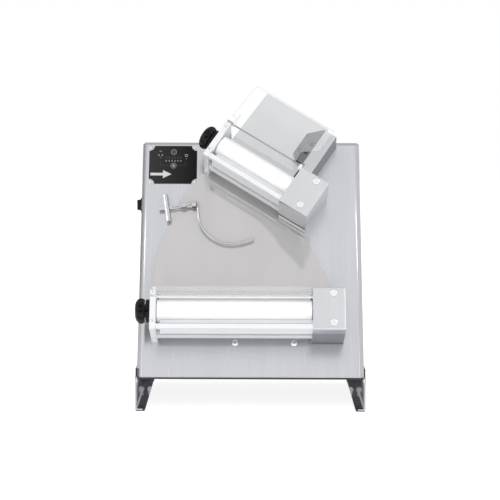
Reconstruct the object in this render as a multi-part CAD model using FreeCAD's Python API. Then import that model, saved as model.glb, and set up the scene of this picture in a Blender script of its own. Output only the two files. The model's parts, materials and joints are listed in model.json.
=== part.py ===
import FreeCAD, Part
import math
import os

from FreeCAD import Placement, Rotation, Vector

# Countertop pizza dough roller in two stages. A wedge-shaped sheet-metal body stands on two folded
# skids. A short tilted pair of rollers sits high on its sloping front panel and a long level pair low
# on it; a slide sheet leads the dough from one to the other, past a pendulum that turns it.
# Millimetres. X points right as seen from the front, Y into the machine and Z up. The origin lies on
# the bench, at the centre of the four fixing holes in the skids.

# Sheet-metal body
body_width = 486.0
body_depth = 335.0
panel_length = 540.3
panel_lean = 27.0
edge_bevel = 11.5
body_sheet = 1.5
return_flange = 12.0
cover_sheet = 1.5
cover_margin = 3.0
base_sheet = 3.0
base_margin = 1.0
side_screw_front = 45.0
side_screw_middle = 150.0
side_screw_rear = 265.0
side_screw_up = 7.5
base_screw_side = 65.0
base_screw_middle = 20.0
base_screw_inset = 12.0
back_screw_inset = 20.0
air_slot_pitch = 40.0
air_slot_length = 26.0
air_slot_height = 5.0
air_slots_low = 90.0
air_slots_high = 70.0
base_slot_pitch = 50.0
base_slot_length = 80.0
base_slot_width = 8.0

# Skids
foot_height = 73.0
skid_length = 300.0
skid_sheet = 3.0
skid_lap = 24.0
skid_flange = 19.0
skid_tab = 20.0
skid_corner = 6.0
skid_bend = 2.5
pad_thickness = 2.5
pad_margin = 2.0
bench_hole_radius = 3.5
bench_hole_inset = 25.0
keyhole_width = 13.0
keyhole_height = 22.0
keyhole_margin = 16.0

# Screws, named by the size of their thread
small_screw = 3.0
medium_screw = 5.0
large_screw = 6.0
heavy_screw = 8.0

# Control plate, on the panel's upper left
plate_width = 107.0
plate_height = 91.0
plate_thickness = 2.0
plate_from_left = 15.0
plate_from_top = 3.3
plate_notch = 12.0
plate_screw_inset = 4.0
board_margin = 12.0
board_thickness = 1.6
board_standoff = 10.9
board_post_radius = 2.5
relay_width = 20.0
relay_length = 26.0
relay_height = 8.0

# Slide sheet, flat at the top and curved out to the nip of the lower rollers
slide_sheet_thickness = 1.5
slide_bend_height = 360.0
slide_end = 152.0
slide_lift = 43.0
slide_side_left = 33.5
slide_side_right = 31.6
slide_shoulder = 7.0
slide_play = 0.6
slide_tuck = 18.0

# Both roller units. In a unit's own frame x runs along the rollers to the right from the left edge
# of its gear housing, y up the panel from the unit's foot, and z out of the panel.
roller_radius = 23.75
roller_gap = 2.4
gap_travel = 1.7
knob_turn = 60.0
roller_end_play = 1.0
rear_roller_clearance = 1.35
axis_above_foot = 48.0
axis_below_top = 44.0
end_plate_thickness = 12.7
gear_plate_thickness = 10.0
gear_plate_inset = 2.0
housing_width = 69.0
housing_sheet = 1.5
housing_clearance = 0.8
housing_foot_gap = 1.0
housing_bend = 3.0
roller_gear_teeth = 16
drive_gear_teeth = 20
gear_width = 18.0
gear_side_gap = 4.0
gear_play = 0.7
mesh_relief = 0.2
journal_radius = 7.5
core_radius = 10.0
running_clearance = 0.05
bush_wall = 2.5
bush_depth = 9.0
block_half_width = 13.0
block_half_length = 15.0
block_clearance = 0.12
block_bore_depth = 7.0
eccentric_disc_radius = 8.0
eccentric_disc_depth = 4.8
eccentric_spindle_radius = 6.0
yoke_clearance = 0.3
collar_radius = 25.0
collar_length = 9.3
knob_radius = 27.0
knob_length = 21.5
knob_neck_radius = 14.0
knob_neck_length = 1.5
knob_gap = 0.5
knob_rounding = 0.42
knob_lobes = 8
tie_bar_height = 10.3
tie_bar_depth = 11.0
tie_bar_set_back = 2.0
middle_bar_depth = 18.0
exit_slot = 10.0
slot_from_nip = 1.2
tie_rod_radius = 3.0
scraper_height = 10.0
scraper_clearance = 0.35
scraper_inset = 8.0
scraper_groove_width = 5.5
scraper_groove_depth = 9.0
scraper_lip_set_back = 6.0
scraper_lip = 3.0
rear_scraper_width = 12.0
rear_scraper_reach = 9.0
guard_sheet = 2.0
guard_gap = 0.3
guard_drop = 21.5
lower_guard_depth = 38.0
pillar_radius = 7.0

# Lower unit: level, and its place on the panel
lower_roller_length = 329.2
lower_across = 130.4
lower_up = 77.0
panel_bolt_near = 37.0
panel_bolt_far = 163.6
panel_bolt_rise = 1.1

# Upper unit: tilted in the panel's plane, and its place on the panel
upper_roller_length = 184.0
upper_across = 60.5
upper_up = 366.3
upper_tilt = 33.0

# Gear motors inside the body
gearbox_length = 40.0
gearbox_half_width = 30.0
gearbox_depth = 62.0
panel_clearance = 8.0
motor_radius = 29.0
motor_length = 108.0
drive_spindle_radius = 6.0
spindle_hole_radius = 8.0

# Feed chute and its side bracket, in the upper unit's frame
chute_sheet = 1.5
chute_left = -177.8
chute_right = -15.0
chute_start = 76.0
chute_top = 230.0
chute_start_rise = 47.5
chute_slope = 8.0
chute_leg_start = 105.0
chute_leg_top = 190.0
chute_foot = 14.0
bracket_sheet = 2.0
bracket_start = 98.0
bracket_flange_start = 120.0
bracket_top = 212.0
bracket_rise = 55.0
bracket_front_right = 15.0
bracket_foot_right = 18.5
bracket_flange = 34.0
bracket_foot = 10.0
bracket_corner = 12.0
bracket_slant = 24.0
bracket_seat = 0.05
flange_bolt_near = 9.5
flange_bolt_far = 26.5
flange_bolt_low = 26.0
flange_bolt_high = 49.0

# Upper guard: a clear sheet that swings forward on two arms
guard_top = 212.0
guard_top_rise = 75.0
guard_right = 8.0
guard_wing = 10.0
hinge_up = 96.0
hinge_rise = 98.0
hinge_pin_radius = 2.0
hinge_ear_radius = 4.5
hinge_ear_width = 7.0
hinge_ear_play = 0.5
arm_thickness = 4.0
arm_reach = 30.0
arm_inset = 18.5

# Pendulum that turns the dough, on the panel
pivot_across = -125.3
pivot_up = 390.2
post_radius = 6.5
post_height = 7.5
pivot_pin_radius = 3.0
arm_angle = 186.2
arm_length = 77.0
arm_width = 7.0
arm_sheet = 3.0
arm_gap = 0.2
weight_at = 60.0
weight_radius = 6.0
weight_length = 63.5
weight_skew = -2.6
clamp_at = 22.0
clamp_half_length = 6.0
arm_slot_width = 3.2
wire_radius = 2.5
sweep_radius = 74.9
sweep_across = -41.2
sweep_up = 373.9
sweep_start = 183.0
sweep_stop = 285.0
tail_radius = 160.0
tail_turn = 10.9

# Main switch on the left wall, and the cable gland on the back
switch_depth = 240.0
switch_height = 419.0
switch_side = 33.0
switch_plate = 4.0
switch_knob_radius = 13.0
switch_knob_length = 9.0
switch_spindle_radius = 4.0
switch_neck_radius = 10.0
switch_block = 30.0
switch_block_depth = 25.5
gland_across = 150.0
gland_height = 118.0
gland_radius = 11.0
gland_length = 18.0
gland_bore_radius = 4.0

# Sizes that follow from the ones above
front_y = -skid_length / 2
rear_y = front_y + body_depth
lean = math.radians(panel_lean)
panel_top_y = front_y + panel_length * math.sin(lean)
body_top_z = foot_height + panel_length * math.cos(lean)
half_width = body_width / 2
plate_across = -half_width + plate_from_left + plate_width / 2
plate_up = panel_length - plate_from_top - plate_height / 2
axis_distance = 2 * roller_radius + roller_gap
gear_module = (axis_distance - gap_travel - mesh_relief) / roller_gear_teeth
rear_axis_z = roller_radius + rear_roller_clearance
front_axis_z = rear_axis_z + axis_distance
gear_tip_radius = gear_module * (roller_gear_teeth / 2 + 1)
drive_tip_radius = gear_module * (drive_gear_teeth / 2 + 1)
outlet_rear = rear_axis_z + roller_radius + slot_from_nip - roller_gap / 2
outlet_front = outlet_rear + exit_slot
drive_axis_z = rear_axis_z - gear_module * (roller_gear_teeth + drive_gear_teeth) / 2 - mesh_relief
unit_rise = front_axis_z + gap_travel + gear_tip_radius + housing_clearance + housing_sheet
unit_height = axis_above_foot + axis_below_top
gear_plate_right = gear_plate_inset + gear_plate_thickness
gear_left = gear_plate_right + gear_side_gap
gear_right = gear_left + gear_width
eccentricity = gap_travel / math.sin(math.radians(knob_turn))
bush_radius = journal_radius + bush_wall
slot_half_length = block_half_length + gap_travel + block_clearance
slot_half_width = block_half_width + block_clearance
bolt_low = axis_above_foot - 32.3
bolt_high = axis_above_foot + 31.7
cover_bolt_x = housing_width - 25.4

panel_frame = Placement(Vector(0, front_y, foot_height), Rotation(Vector(1, 0, 0), 90 - panel_lean))
lower_frame = panel_frame.multiply(Placement(Vector(lower_across, lower_up, 0), Rotation()))
upper_turn = Rotation(Vector(0, 0, 1), -upper_tilt)
upper_frame = panel_frame.multiply(Placement(Vector(upper_across, upper_up, 0), upper_turn))

nodes = {}


def add(name, shapes, frame=Placement()):
    """Keeps the solids of one node, moved from their own frame into the machine's."""
    group = shapes if isinstance(shapes, list) else [shapes]
    moved = []
    for shape in group:
        for solid in shape.Solids:
            copy = solid.copy()
            copy.Placement = frame.multiply(copy.Placement)
            moved.append(copy)
    nodes.setdefault(name, []).extend(moved)


def box(x0, x1, y0, y1, z0, z1):
    return Part.makeBox(x1 - x0, y1 - y0, z1 - z0, Vector(x0, y0, z0))


def rod(radius, start, end):
    along = Vector(*end) - Vector(*start)
    return Part.makeCylinder(radius, along.Length, Vector(*start), along)


def prism(points, push):
    """Solid between a flat outline and the same outline pushed by a vector."""
    corners = [Vector(*p) for p in points]
    return Part.Face(Part.makePolygon(corners + [corners[0]])).extrude(Vector(*push))


def slab_x(outline, x0, x1):
    """Plate between two x planes from an outline of (y, z) points."""
    return prism([(x0, y, z) for y, z in outline], (x1 - x0, 0, 0))


def slab_z(outline, z0, z1):
    """Plate between two z planes from an outline of (x, y) points."""
    return prism([(x, y, z0) for x, y in outline], (0, 0, z1 - z0))


def fused(shapes):
    return shapes[0].fuse(shapes[1:]).removeSplitter()


def rounded(shape, direction, radius, chosen=lambda centre: True):
    """Fillets the straight edges that run along a direction, where chosen says so."""
    axis = Vector(*direction)
    edges = []
    for edge in shape.Edges:
        if not isinstance(edge.Curve, Part.Line):
            continue
        if edge.Curve.Direction.cross(axis).Length < 1e-6 and chosen(edge.CenterOfMass):
            edges.append(edge)
    return shape.makeFillet(radius, edges)


def dome_screw(size, length, at, facing):
    """Dome-head screw: the head's underside is at a point, and the shank runs back into the part."""
    head_radius = 0.95 * size
    head_height = 0.5 * size
    cap = Part.makeCylinder(head_radius, head_height)
    cap = cap.makeFillet(0.8 * head_height, [e for e in cap.Edges if e.CenterOfMass.z > head_height * 0.9])
    shank = Part.makeCylinder(size / 2, length, Vector(0, 0, -length))
    screw = fused([cap, shank])
    screw.Placement = Placement(Vector(*at), Rotation(Vector(0, 0, 1), Vector(*facing)))
    return screw


def screw_hole(size, length, at, facing):
    """Hole that a screw of this size and length fills."""
    hole = Part.makeCylinder(size / 2, length, Vector(0, 0, -length))
    hole.Placement = Placement(Vector(*at), Rotation(Vector(0, 0, 1), Vector(*facing)))
    return hole


def on_panel(frame, x, y):
    """Across and up on the panel of a point in a unit's frame."""
    point = panel_frame.inverse().multVec(frame.multVec(Vector(x, y, 0)))
    return point.x, point.y


# Body shell: one folded sheet that makes the sloping front, its bevelled long edges, the side walls and
# the top. It is open at the back and underneath, inside a narrow return flange.
def wedge(inset):
    """Wedge with bevelled front edges, its walls set in by a distance."""
    slope_set_back = inset / math.cos(lean)
    foot_z = foot_height + inset
    top_z = body_top_z - inset
    outline = [
        (front_y + slope_set_back + inset * math.tan(lean), foot_z),
        (panel_top_y + slope_set_back - inset * math.tan(lean), top_z),
        (rear_y - inset, top_z),
        (rear_y - inset, foot_z),
    ]
    side = half_width - inset
    solid = slab_x(outline, -side, side)
    reach = half_width - edge_bevel - inset * math.sqrt(2)
    for sign in (-1, 1):
        outside = half_width + 2
        corner = [(sign * (reach - 2), 2), (sign * outside, 2), (sign * outside, reach - outside)]
        cut = prism([(x, -20, z) for x, z in corner], (0, panel_length + 40, 0))
        cut.Placement = panel_frame
        solid = solid.cut(cut)
    return solid


def panel_slot():
    """Opening in the panel behind a gear housing, for the gear plate and the gears."""
    half = max(drive_tip_radius, gear_tip_radius) + 4
    return box(gear_plate_inset - 1, gear_right + 2, axis_above_foot - half, axis_above_foot + half, -10, 5)


def placed(shape, frame):
    copy = shape.copy()
    copy.Placement = frame.multiply(copy.Placement)
    return copy


side_screws = [
    (front_y + side_screw_front, foot_height + side_screw_up),
    (front_y + side_screw_middle, foot_height + side_screw_up),
    (front_y + side_screw_rear, foot_height + side_screw_up),
]
base_screw_xs = (-half_width + base_screw_side, -base_screw_middle, lower_across)
base_screw_ys = (front_y + base_screw_inset, rear_y - return_flange / 2)
back_screw_xs = (-half_width + back_screw_inset, 0, half_width - back_screw_inset)
back_screw_zs = (foot_height + return_flange / 2, body_top_z - return_flange / 2)
back_screws = [(x, z) for x in back_screw_xs for z in back_screw_zs]
back_screws += [(x, sum(back_screw_zs) / 2) for x in back_screw_xs if x]
panel_bolt_up = lower_up + panel_bolt_rise
panel_bolts = [(lower_across - inset, panel_bolt_up) for inset in (panel_bolt_far, panel_bolt_near)]
plate_screw_across = plate_width / 2 - plate_screw_inset
plate_screw_up = plate_height / 2 - plate_screw_inset
switch_y = front_y + switch_depth


def body_cuts():
    cuts = [placed(panel_slot(), lower_frame), placed(panel_slot(), upper_frame)]
    for sign in (-1, 1):
        for y, z in side_screws:
            cuts.append(screw_hole(medium_screw, 12, (sign * (half_width + skid_sheet), y, z), (sign, 0, 0)))
    for x in base_screw_xs:
        for y in base_screw_ys:
            cuts.append(screw_hole(small_screw, 8, (x, y, foot_height - base_sheet), (0, 0, -1)))
    for x, z in back_screws:
        cuts.append(screw_hole(small_screw, 8, (x, rear_y + cover_sheet, z), (0, 1, 0)))
    for across, up in panel_bolts:
        cuts.append(placed(screw_hole(heavy_screw, 10, (across, up, 0), (0, 0, 1)), panel_frame))
    for x in (-plate_screw_across, plate_screw_across):
        for y in (-plate_screw_up, plate_screw_up):
            hole = screw_hole(small_screw, 8, (plate_across + x, plate_up + y, 0), (0, 0, 1))
            cuts.append(placed(hole, panel_frame))
    start = (-half_width - 1, switch_y, switch_height)
    cuts.append(rod(switch_neck_radius, start, (-half_width + 5, switch_y, switch_height)))
    return cuts


def body_shell():
    shell = wedge(0).cut(wedge(body_sheet))
    rear_window = box(
        -half_width + return_flange, half_width - return_flange, rear_y - 5, rear_y + 1,
        foot_height + return_flange, body_top_z - return_flange,
    )
    base_window = box(
        -half_width + return_flange, half_width - return_flange,
        front_y + 2 * return_flange, rear_y - return_flange, foot_height - 1, foot_height + 5,
    )
    return shell.cut([rear_window, base_window] + body_cuts())


# Back cover: flat sheet screwed on the return flange, with two rows of air slots and the gland's hole.
def back_cover():
    side = half_width - cover_margin
    behind = rear_y + cover_sheet
    cover = box(-side, side, rear_y, behind, foot_height + cover_margin, body_top_z - cover_margin)
    half_length = air_slot_length / 2
    half_height = air_slot_height / 2
    cuts = []
    for row in (foot_height + air_slots_low, body_top_z - air_slots_high):
        for step in range(-4, 5):
            x = air_slot_pitch * step
            x0, x1 = x - half_length, x + half_length
            slot = box(x0, x1, rear_y - 1, behind + 1, row - half_height, row + half_height)
            cuts.append(rounded(slot, (0, 1, 0), half_height - 0.1))
    for x, z in back_screws:
        cuts.append(screw_hole(small_screw, 8, (x, behind, z), (0, 1, 0)))
    start = (gland_across, rear_y - 1, gland_height)
    cuts.append(rod(0.7 * gland_radius, start, (gland_across, behind + 1, gland_height)))
    return cover.cut(cuts)


# Base plate: closes the body from below, just behind the panel's lower edge.
def base_plate():
    side = half_width - base_margin
    under = foot_height - base_sheet
    plate = box(-side, side, front_y, rear_y - cover_margin, under, foot_height)
    cuts = []
    for x in base_screw_xs:
        for y in base_screw_ys:
            cuts.append(screw_hole(small_screw, 8, (x, y, foot_height - base_sheet), (0, 0, -1)))
    half = base_slot_width / 2
    for step in range(-3, 4):
        x = base_slot_pitch * step
        slot = box(x - half, x + half, 0, base_slot_length, foot_height - 5, foot_height + 1)
        cuts.append(rounded(slot, (0, 0, 1), half - 0.1))
    return plate.cut(cuts)


# Skid: folded plate with a side that laps the body's wall, a foot flange and a rear tab with a keyhole.
def skid(sign):
    inner = half_width
    outer = half_width + skid_sheet
    slope = Vector(0, math.sin(lean), math.cos(lean))
    inward = Vector(0, math.cos(lean), -math.sin(lean))
    low = Vector(0, front_y, foot_height) + inward * edge_bevel
    high = low + slope * skid_lap
    rear = front_y + skid_length
    brow_y = front_y + edge_bevel / math.cos(lean)
    outline = [
        (front_y, pad_thickness), (front_y, foot_height), (brow_y, foot_height),
        (high.y, high.z), (rear, high.z), (rear, pad_thickness),
    ]
    side = slab_x(outline, inner, outer)
    flange = box(inner - skid_flange, outer, front_y, rear, pad_thickness, pad_thickness + skid_sheet)
    flange = rounded(flange, (0, 0, 1), skid_corner, lambda c: c.x < inner and c.y < 0)
    floor = pad_thickness + skid_sheet
    folded = fused([side, flange])
    folded = rounded(folded, (0, 1, 0), skid_bend, lambda c: abs(c.x - inner) + abs(c.z - floor) < 0.1)
    tab_top = foot_height - base_sheet - 1
    tab = box(inner - skid_tab, inner, rear - skid_sheet, rear, pad_thickness, tab_top)
    whole = fused([folded, tab])
    keyhole_x = inner - skid_tab / 2
    keyhole_low = pad_thickness + skid_sheet + keyhole_margin + keyhole_width / 2
    keyhole_high = keyhole_low + keyhole_height - keyhole_width * 0.8
    half_slot = keyhole_width * 0.3
    y0, y1 = rear - skid_sheet - 1, rear + 1
    cuts = [
        rod(keyhole_width / 2, (keyhole_x, y0, keyhole_low), (keyhole_x, y1, keyhole_low)),
        rod(half_slot, (keyhole_x, y0, keyhole_high), (keyhole_x, y1, keyhole_high)),
        box(keyhole_x - half_slot, keyhole_x + half_slot, y0, y1, keyhole_low, keyhole_high),
    ]
    for y in bench_hole_ys:
        cuts.append(rod(bench_hole_radius, (bench_hole_x, y, 0), (bench_hole_x, y, 10)))
    for y, z in side_screws:
        cuts.append(screw_hole(medium_screw, 12, (outer, y, z), (1, 0, 0)))
    whole = whole.cut(cuts)
    return whole if sign > 0 else whole.mirror(Vector(0, 0, 0), Vector(1, 0, 0))


bench_hole_x = half_width - skid_flange / 2
bench_hole_ys = (front_y + bench_hole_inset, front_y + skid_length - bench_hole_inset)


def foot_pads():
    """Rubber strips under the two foot flanges, bored for the bench screws."""
    pads = []
    for sign in (-1, 1):
        pad = box(
            half_width - skid_flange + pad_margin, half_width + skid_sheet - 1,
            front_y + pad_margin, front_y + skid_length - pad_margin, 0, pad_thickness,
        )
        for y in bench_hole_ys:
            pad = pad.cut(rod(bench_hole_radius, (bench_hole_x, y, -1), (bench_hole_x, y, 10)))
        pads.append(pad if sign > 0 else pad.mirror(Vector(0, 0, 0), Vector(1, 0, 0)))
    return pads


def body_screws():
    screws = []
    for sign in (-1, 1):
        for y, z in side_screws:
            at = (sign * (half_width + skid_sheet), y, z)
            screws.append(dome_screw(medium_screw, 8, at, (sign, 0, 0)))
    for x in base_screw_xs:
        for y in base_screw_ys:
            screws.append(dome_screw(small_screw, 6, (x, y, foot_height - base_sheet), (0, 0, -1)))
    for x, z in back_screws:
        screws.append(dome_screw(small_screw, 6, (x, rear_y + cover_sheet, z), (0, 1, 0)))
    return screws


def panel_screws():
    """Screws that enter the sloping panel: two large ones low down and four round the control plate."""
    screws = []
    for across, up in panel_bolts:
        screws.append(dome_screw(heavy_screw, 8, (across, up, 0), (0, 0, 1)))
    for x in (-plate_screw_across, plate_screw_across):
        for y in (-plate_screw_up, plate_screw_up):
            screws.append(dome_screw(small_screw, 6, (plate_across + x, plate_up + y, 0), (0, 0, 1)))
    return screws


# Control plate: a thin black front with its corners cut out round the screws, and the board behind it.
def control_plate():
    x0, x1 = plate_across - plate_width / 2, plate_across + plate_width / 2
    y0, y1 = plate_up - plate_height / 2, plate_up + plate_height / 2
    plate = box(x0, x1, y0, y1, 0, plate_thickness)
    top = plate_thickness + 1
    return plate.cut([rod(plate_notch, (x, y, -1), (x, y, top)) for x in (x0, x1) for y in (y0, y1)])


def control_board():
    half_across = plate_width / 2 - board_margin
    half_up = plate_height / 2 - board_margin
    x0, x1 = plate_across - half_across, plate_across + half_across
    y0, y1 = plate_up - half_up, plate_up + half_up
    top = -body_sheet - board_standoff
    board = box(x0, x1, y0, y1, top - board_thickness, top)
    inset = 2 * board_post_radius
    post_xs = (x0 + inset, x1 - inset)
    post_ys = (y0 + inset, y1 - inset)
    posts = [rod(board_post_radius, (x, y, top), (x, y, -body_sheet)) for x in post_xs for y in post_ys]
    relay = box(
        x0 + board_margin, x0 + board_margin + relay_width,
        y0 + board_margin, y0 + board_margin + relay_length, top, top + relay_height,
    )
    return fused([board, relay] + posts)


# Slide sheet: flat on the panel below the upper rollers, then curved out in one large arc, so that the
# dough meets the nip of the lower rollers. Its outline flares to catch the turned disc.
def slide_strip():
    """Sheet as wide as the body: flat at the top, then one arc that leaves the panel."""
    run = slide_bend_height - slide_end
    turn = 2 * math.atan(slide_lift / run)
    radius = run / math.sin(turn)
    top = upper_up + upper_roller_length

    def arc(r):
        spots = []
        for share in (0, 0.5, 1):
            angle = turn * share
            up = slide_bend_height - r * math.sin(angle)
            spots.append(Vector(-half_width, up, radius - r * math.cos(angle)))
        return Part.Arc(*spots)

    under = arc(radius)
    over = arc(radius - slide_sheet_thickness)
    low_head = Vector(-half_width, top, 0)
    high_head = Vector(-half_width, top, slide_sheet_thickness)
    edges = [
        Part.LineSegment(low_head, under.StartPoint).toShape(),
        under.toShape(),
        Part.LineSegment(under.EndPoint, over.EndPoint).toShape(),
        over.toShape(),
        Part.LineSegment(over.StartPoint, high_head).toShape(),
        Part.LineSegment(high_head, low_head).toShape(),
    ]
    return Part.Face(Part.Wire(Part.__sortEdges__(edges))).extrude(Vector(body_width, 0, 0))


def flared(start, stop, shares):
    """Smooth curve between two points of the sheet; each share is across and up between them."""
    points = [start]
    for across, up in shares:
        points.append((start[0] + across * (stop[0] - start[0]), start[1] + up * (stop[1] - start[1])))
    spline = Part.BSplineCurve()
    spline.interpolate([Vector(x, y, -1) for x, y in points + [stop]])
    return spline.toShape()


def straight(points):
    spots = [Vector(x, y, -1) for x, y in points]
    return [Part.LineSegment(a, b).toShape() for a, b in zip(spots, spots[1:])]


left_flare = (
    (0.2247, 0.0867), (0.5026, 0.2313), (0.6830, 0.3988), (0.8098, 0.4954),
    (0.9074, 0.5930), (0.9620, 0.6919), (0.9941, 0.7924),
)
right_flare = (
    (0.0, 0.3247), (0.1880, 0.4254), (0.3806, 0.5414),
    (0.6191, 0.7209), (0.7636, 0.8501), (0.8324, 0.9628),
)


def slide_outline():
    """Block with the sheet's outline, seen square to the panel."""
    foot = -body_sheet
    end_x = -upper_roller_length
    shoulder = lower_up + unit_height + slide_shoulder
    left_top = on_panel(upper_frame, end_x - end_plate_thickness - 2, foot)
    left_low = (-half_width + slide_side_left, shoulder)
    right_low = (lower_across + slide_side_right, shoulder)
    right_top = on_panel(upper_frame, housing_width + 1, foot)
    mouth_left = lower_across - lower_roller_length + 2
    mouth_right = lower_across - 2
    bottom = [
        left_low, (mouth_left, shoulder), (mouth_left, 0),
        (mouth_right, 0), (mouth_right, shoulder), right_low,
    ]
    upper = [
        right_top, on_panel(upper_frame, -1, foot), on_panel(upper_frame, -1, slide_tuck),
        on_panel(upper_frame, end_x + 1, slide_tuck), on_panel(upper_frame, end_x + 1, foot), left_top,
    ]
    loop = [flared(left_top, left_low, left_flare)] + straight(bottom)
    loop += [flared(right_low, right_top, right_flare)] + straight(upper)
    return Part.Face(Part.Wire(Part.__sortEdges__(loop))).extrude(Vector(0, 0, 2 * slide_lift))


def slide_sheet():
    high = 5
    corner = (plate_across + plate_width / 2, plate_up - plate_height / 2)
    screw = (plate_across + plate_screw_across, plate_up - plate_screw_up)
    right, low = corner[0] + slide_play, corner[1] - slide_play
    plate_room = box(right - plate_width, right, low, low + plate_height, -1, high)
    plate_room = plate_room.cut(rod(plate_notch - slide_play, (*corner, -1), (*corner, high)))
    screw_room = rod(small_screw + 1, (*screw, -1), (*screw, high))
    room = post_radius + slide_play / 2
    post_room = rod(room, (pivot_across, pivot_up, -1), (pivot_across, pivot_up, high))
    pieces = slide_strip().common(slide_outline()).cut([plate_room, screw_room, post_room]).Solids
    return max(pieces, key=lambda piece: piece.Volume)


# Gear outline and body. Flanks are involutes, cut radial below the base circle.
def gear(teeth, bore, first_tooth):
    """Gear along x with its centre on the x axis; first_tooth is the angle of one tooth from y to z."""
    pitch = gear_module * teeth / 2
    base = pitch * math.cos(math.radians(20))
    tip = pitch + gear_module
    root = pitch - 1.2 * gear_module
    half_tooth = (math.pi * gear_module - gear_play) / (4 * pitch)

    def involute(radius):
        if radius <= base:
            return 0.0
        slant = math.acos(base / radius)
        return math.tan(slant) - slant

    radii = [root, base, (base + pitch) / 2, pitch, (pitch + tip) / 2, tip]
    half_angles = [half_tooth + involute(pitch) - involute(r) for r in radii]
    points = []
    for tooth in range(teeth):
        middle = first_tooth + 2 * math.pi * tooth / teeth
        rising = [(r, middle - a) for r, a in zip(radii, half_angles)]
        falling = [(r, middle + a) for r, a in zip(reversed(radii), reversed(half_angles))]
        points += [(gear_left, r * math.cos(a), r * math.sin(a)) for r, a in rising + falling]
    blank = prism(points, (gear_width, 0, 0))
    return blank.cut(rod(bore, (gear_left - 1, 0, 0), (gear_right + 1, 0, 0)))


def lobed_knob():
    """Knob head along x from 0 to its length, with grip hollows round its rim."""
    head = rod(knob_radius, (0, 0, 0), (knob_length, 0, 0))
    face_rim = [e for e in head.Edges if abs(e.CenterOfMass.x) < 0.01]
    head = head.makeFillet(knob_rounding * knob_radius, face_rim)
    back_rim = [e for e in head.Edges if abs(e.CenterOfMass.x - knob_length) < 0.01]
    head = head.makeFillet(0.1 * knob_radius, back_rim)
    hollow = 0.27 * knob_radius
    grips = []
    for step in range(knob_lobes):
        angle = 2 * math.pi * step / knob_lobes
        y, z = 1.18 * knob_radius * math.cos(angle), 1.18 * knob_radius * math.sin(angle)
        grips.append(rod(hollow, (-1, y, z), (knob_length + 1, y, z)))
    return head.cut(grips)


def at_axis(shape, x, z):
    """Moves a shape built round the x axis to a roller axis of the unit."""
    copy = shape.copy()
    copy.translate(Vector(x, axis_above_foot, z))
    return copy


# One roller unit. Everything between the end plate and the gear housing depends on the roller's length.
def end_plate(left, with_ear):
    outer = left - end_plate_thickness
    plate = box(outer, left, 0, unit_height, 0, unit_rise)
    shapes = [plate]
    if with_ear:
        shapes.append(hinge_ear(outer, left, unit_height - 2))
    bush = rod(bush_radius, (left - bush_depth, 0, 0), (left + 1, 0, 0))
    cuts = [at_axis(bush, 0, rear_axis_z), slide_slot(outer - 1, left + 1)] + plate_screw_holes(left)
    if with_ear:
        pin_from, pin_to = (outer - 1, hinge_up, hinge_rise), (left + 1, hinge_up, hinge_rise)
        cuts.append(rod(hinge_pin_radius, pin_from, pin_to))
    return fused(shapes).cut(cuts)


def hinge_ear(x0, x1, root):
    """Round-ended ear that reaches up from a plate to the guard's hinge rod."""
    low, high = hinge_rise - hinge_ear_radius, hinge_rise + hinge_ear_radius
    end = rod(hinge_ear_radius, (x0, hinge_up, hinge_rise), (x1, hinge_up, hinge_rise))
    return fused([end, box(x0, x1, root, hinge_up, low, high)])


def slide_slot(x0, x1):
    """Slot in which a bearing block slides in and out with the front roller."""
    return box(
        x0, x1, axis_above_foot - slot_half_width, axis_above_foot + slot_half_width,
        front_axis_z - slot_half_length, front_axis_z + slot_half_length,
    )


def plate_screws(left):
    """Dome heads on the front edge of the end plate, and one near its foot on the underside."""
    middle = left - end_plate_thickness / 2
    return [
        (large_screw, 10, (middle, bolt_high, unit_rise), (0, 0, 1)),
        (large_screw, 10, (middle, bolt_low, unit_rise), (0, 0, 1)),
        (small_screw, 8, (middle, 0, 18), (0, -1, 0)),
    ]


def plate_screw_holes(left):
    return [screw_hole(*screw) for screw in plate_screws(left)]


def gear_plate(with_ear):
    """Bearing plate inside the gear housing, with a tongue through the panel for the drive gear."""
    x0, x1 = gear_plate_inset, gear_plate_right
    wall = housing_sheet + 0.2
    half = max(drive_tip_radius, gear_tip_radius) + 3
    top = unit_height - wall
    plate = box(x0, x1, wall, top, 0, unit_rise - wall)
    tongue_end = drive_axis_z - drive_tip_radius - 12
    shapes = [plate, box(x0, x1, axis_above_foot - half, axis_above_foot + half, tongue_end, 1)]
    if with_ear:
        ear_left, ear_right = -hinge_ear_width - hinge_ear_play, -hinge_ear_play
        root = unit_height - hinge_ear_width
        shapes.append(hinge_ear(ear_left, ear_right, root))
        low, high = hinge_rise - hinge_ear_radius, hinge_rise + hinge_ear_radius
        shapes.append(box(ear_left, x0, root, top, low, high))
    bush = rod(bush_radius, (x0 - 1, 0, 0), (x1 + 1, 0, 0))
    spindle = rod(spindle_hole_radius, (x0 - 1, 0, 0), (x1 + 1, 0, 0))
    cuts = [at_axis(bush, 0, rear_axis_z), slide_slot(x0 - 1, x1 + 1), at_axis(spindle, 0, drive_axis_z)]
    if with_ear:
        pin_left = (ear_left - 1, hinge_up, hinge_rise)
        cuts.append(rod(hinge_pin_radius, pin_left, (ear_right, hinge_up, hinge_rise)))
    return fused(shapes).cut(cuts)


def cover_bolts():
    return [(heavy_screw, 12, (cover_bolt_x, y, unit_rise), (0, 0, 1)) for y in (bolt_low, bolt_high)]


def gear_housing():
    outer = box(0, housing_width, 0, unit_height, housing_foot_gap, unit_rise)
    front = [e for e in outer.Edges if e.CenterOfMass.z > unit_rise - 0.1 and e.CenterOfMass.x > 1]
    outer = outer.makeFillet(housing_bend, front)
    right = housing_width - housing_sheet
    inner = box(-1, right, housing_sheet, unit_height - housing_sheet, 0, unit_rise - housing_sheet)
    return outer.cut([inner] + [screw_hole(*bolt) for bolt in cover_bolts()])


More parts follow.
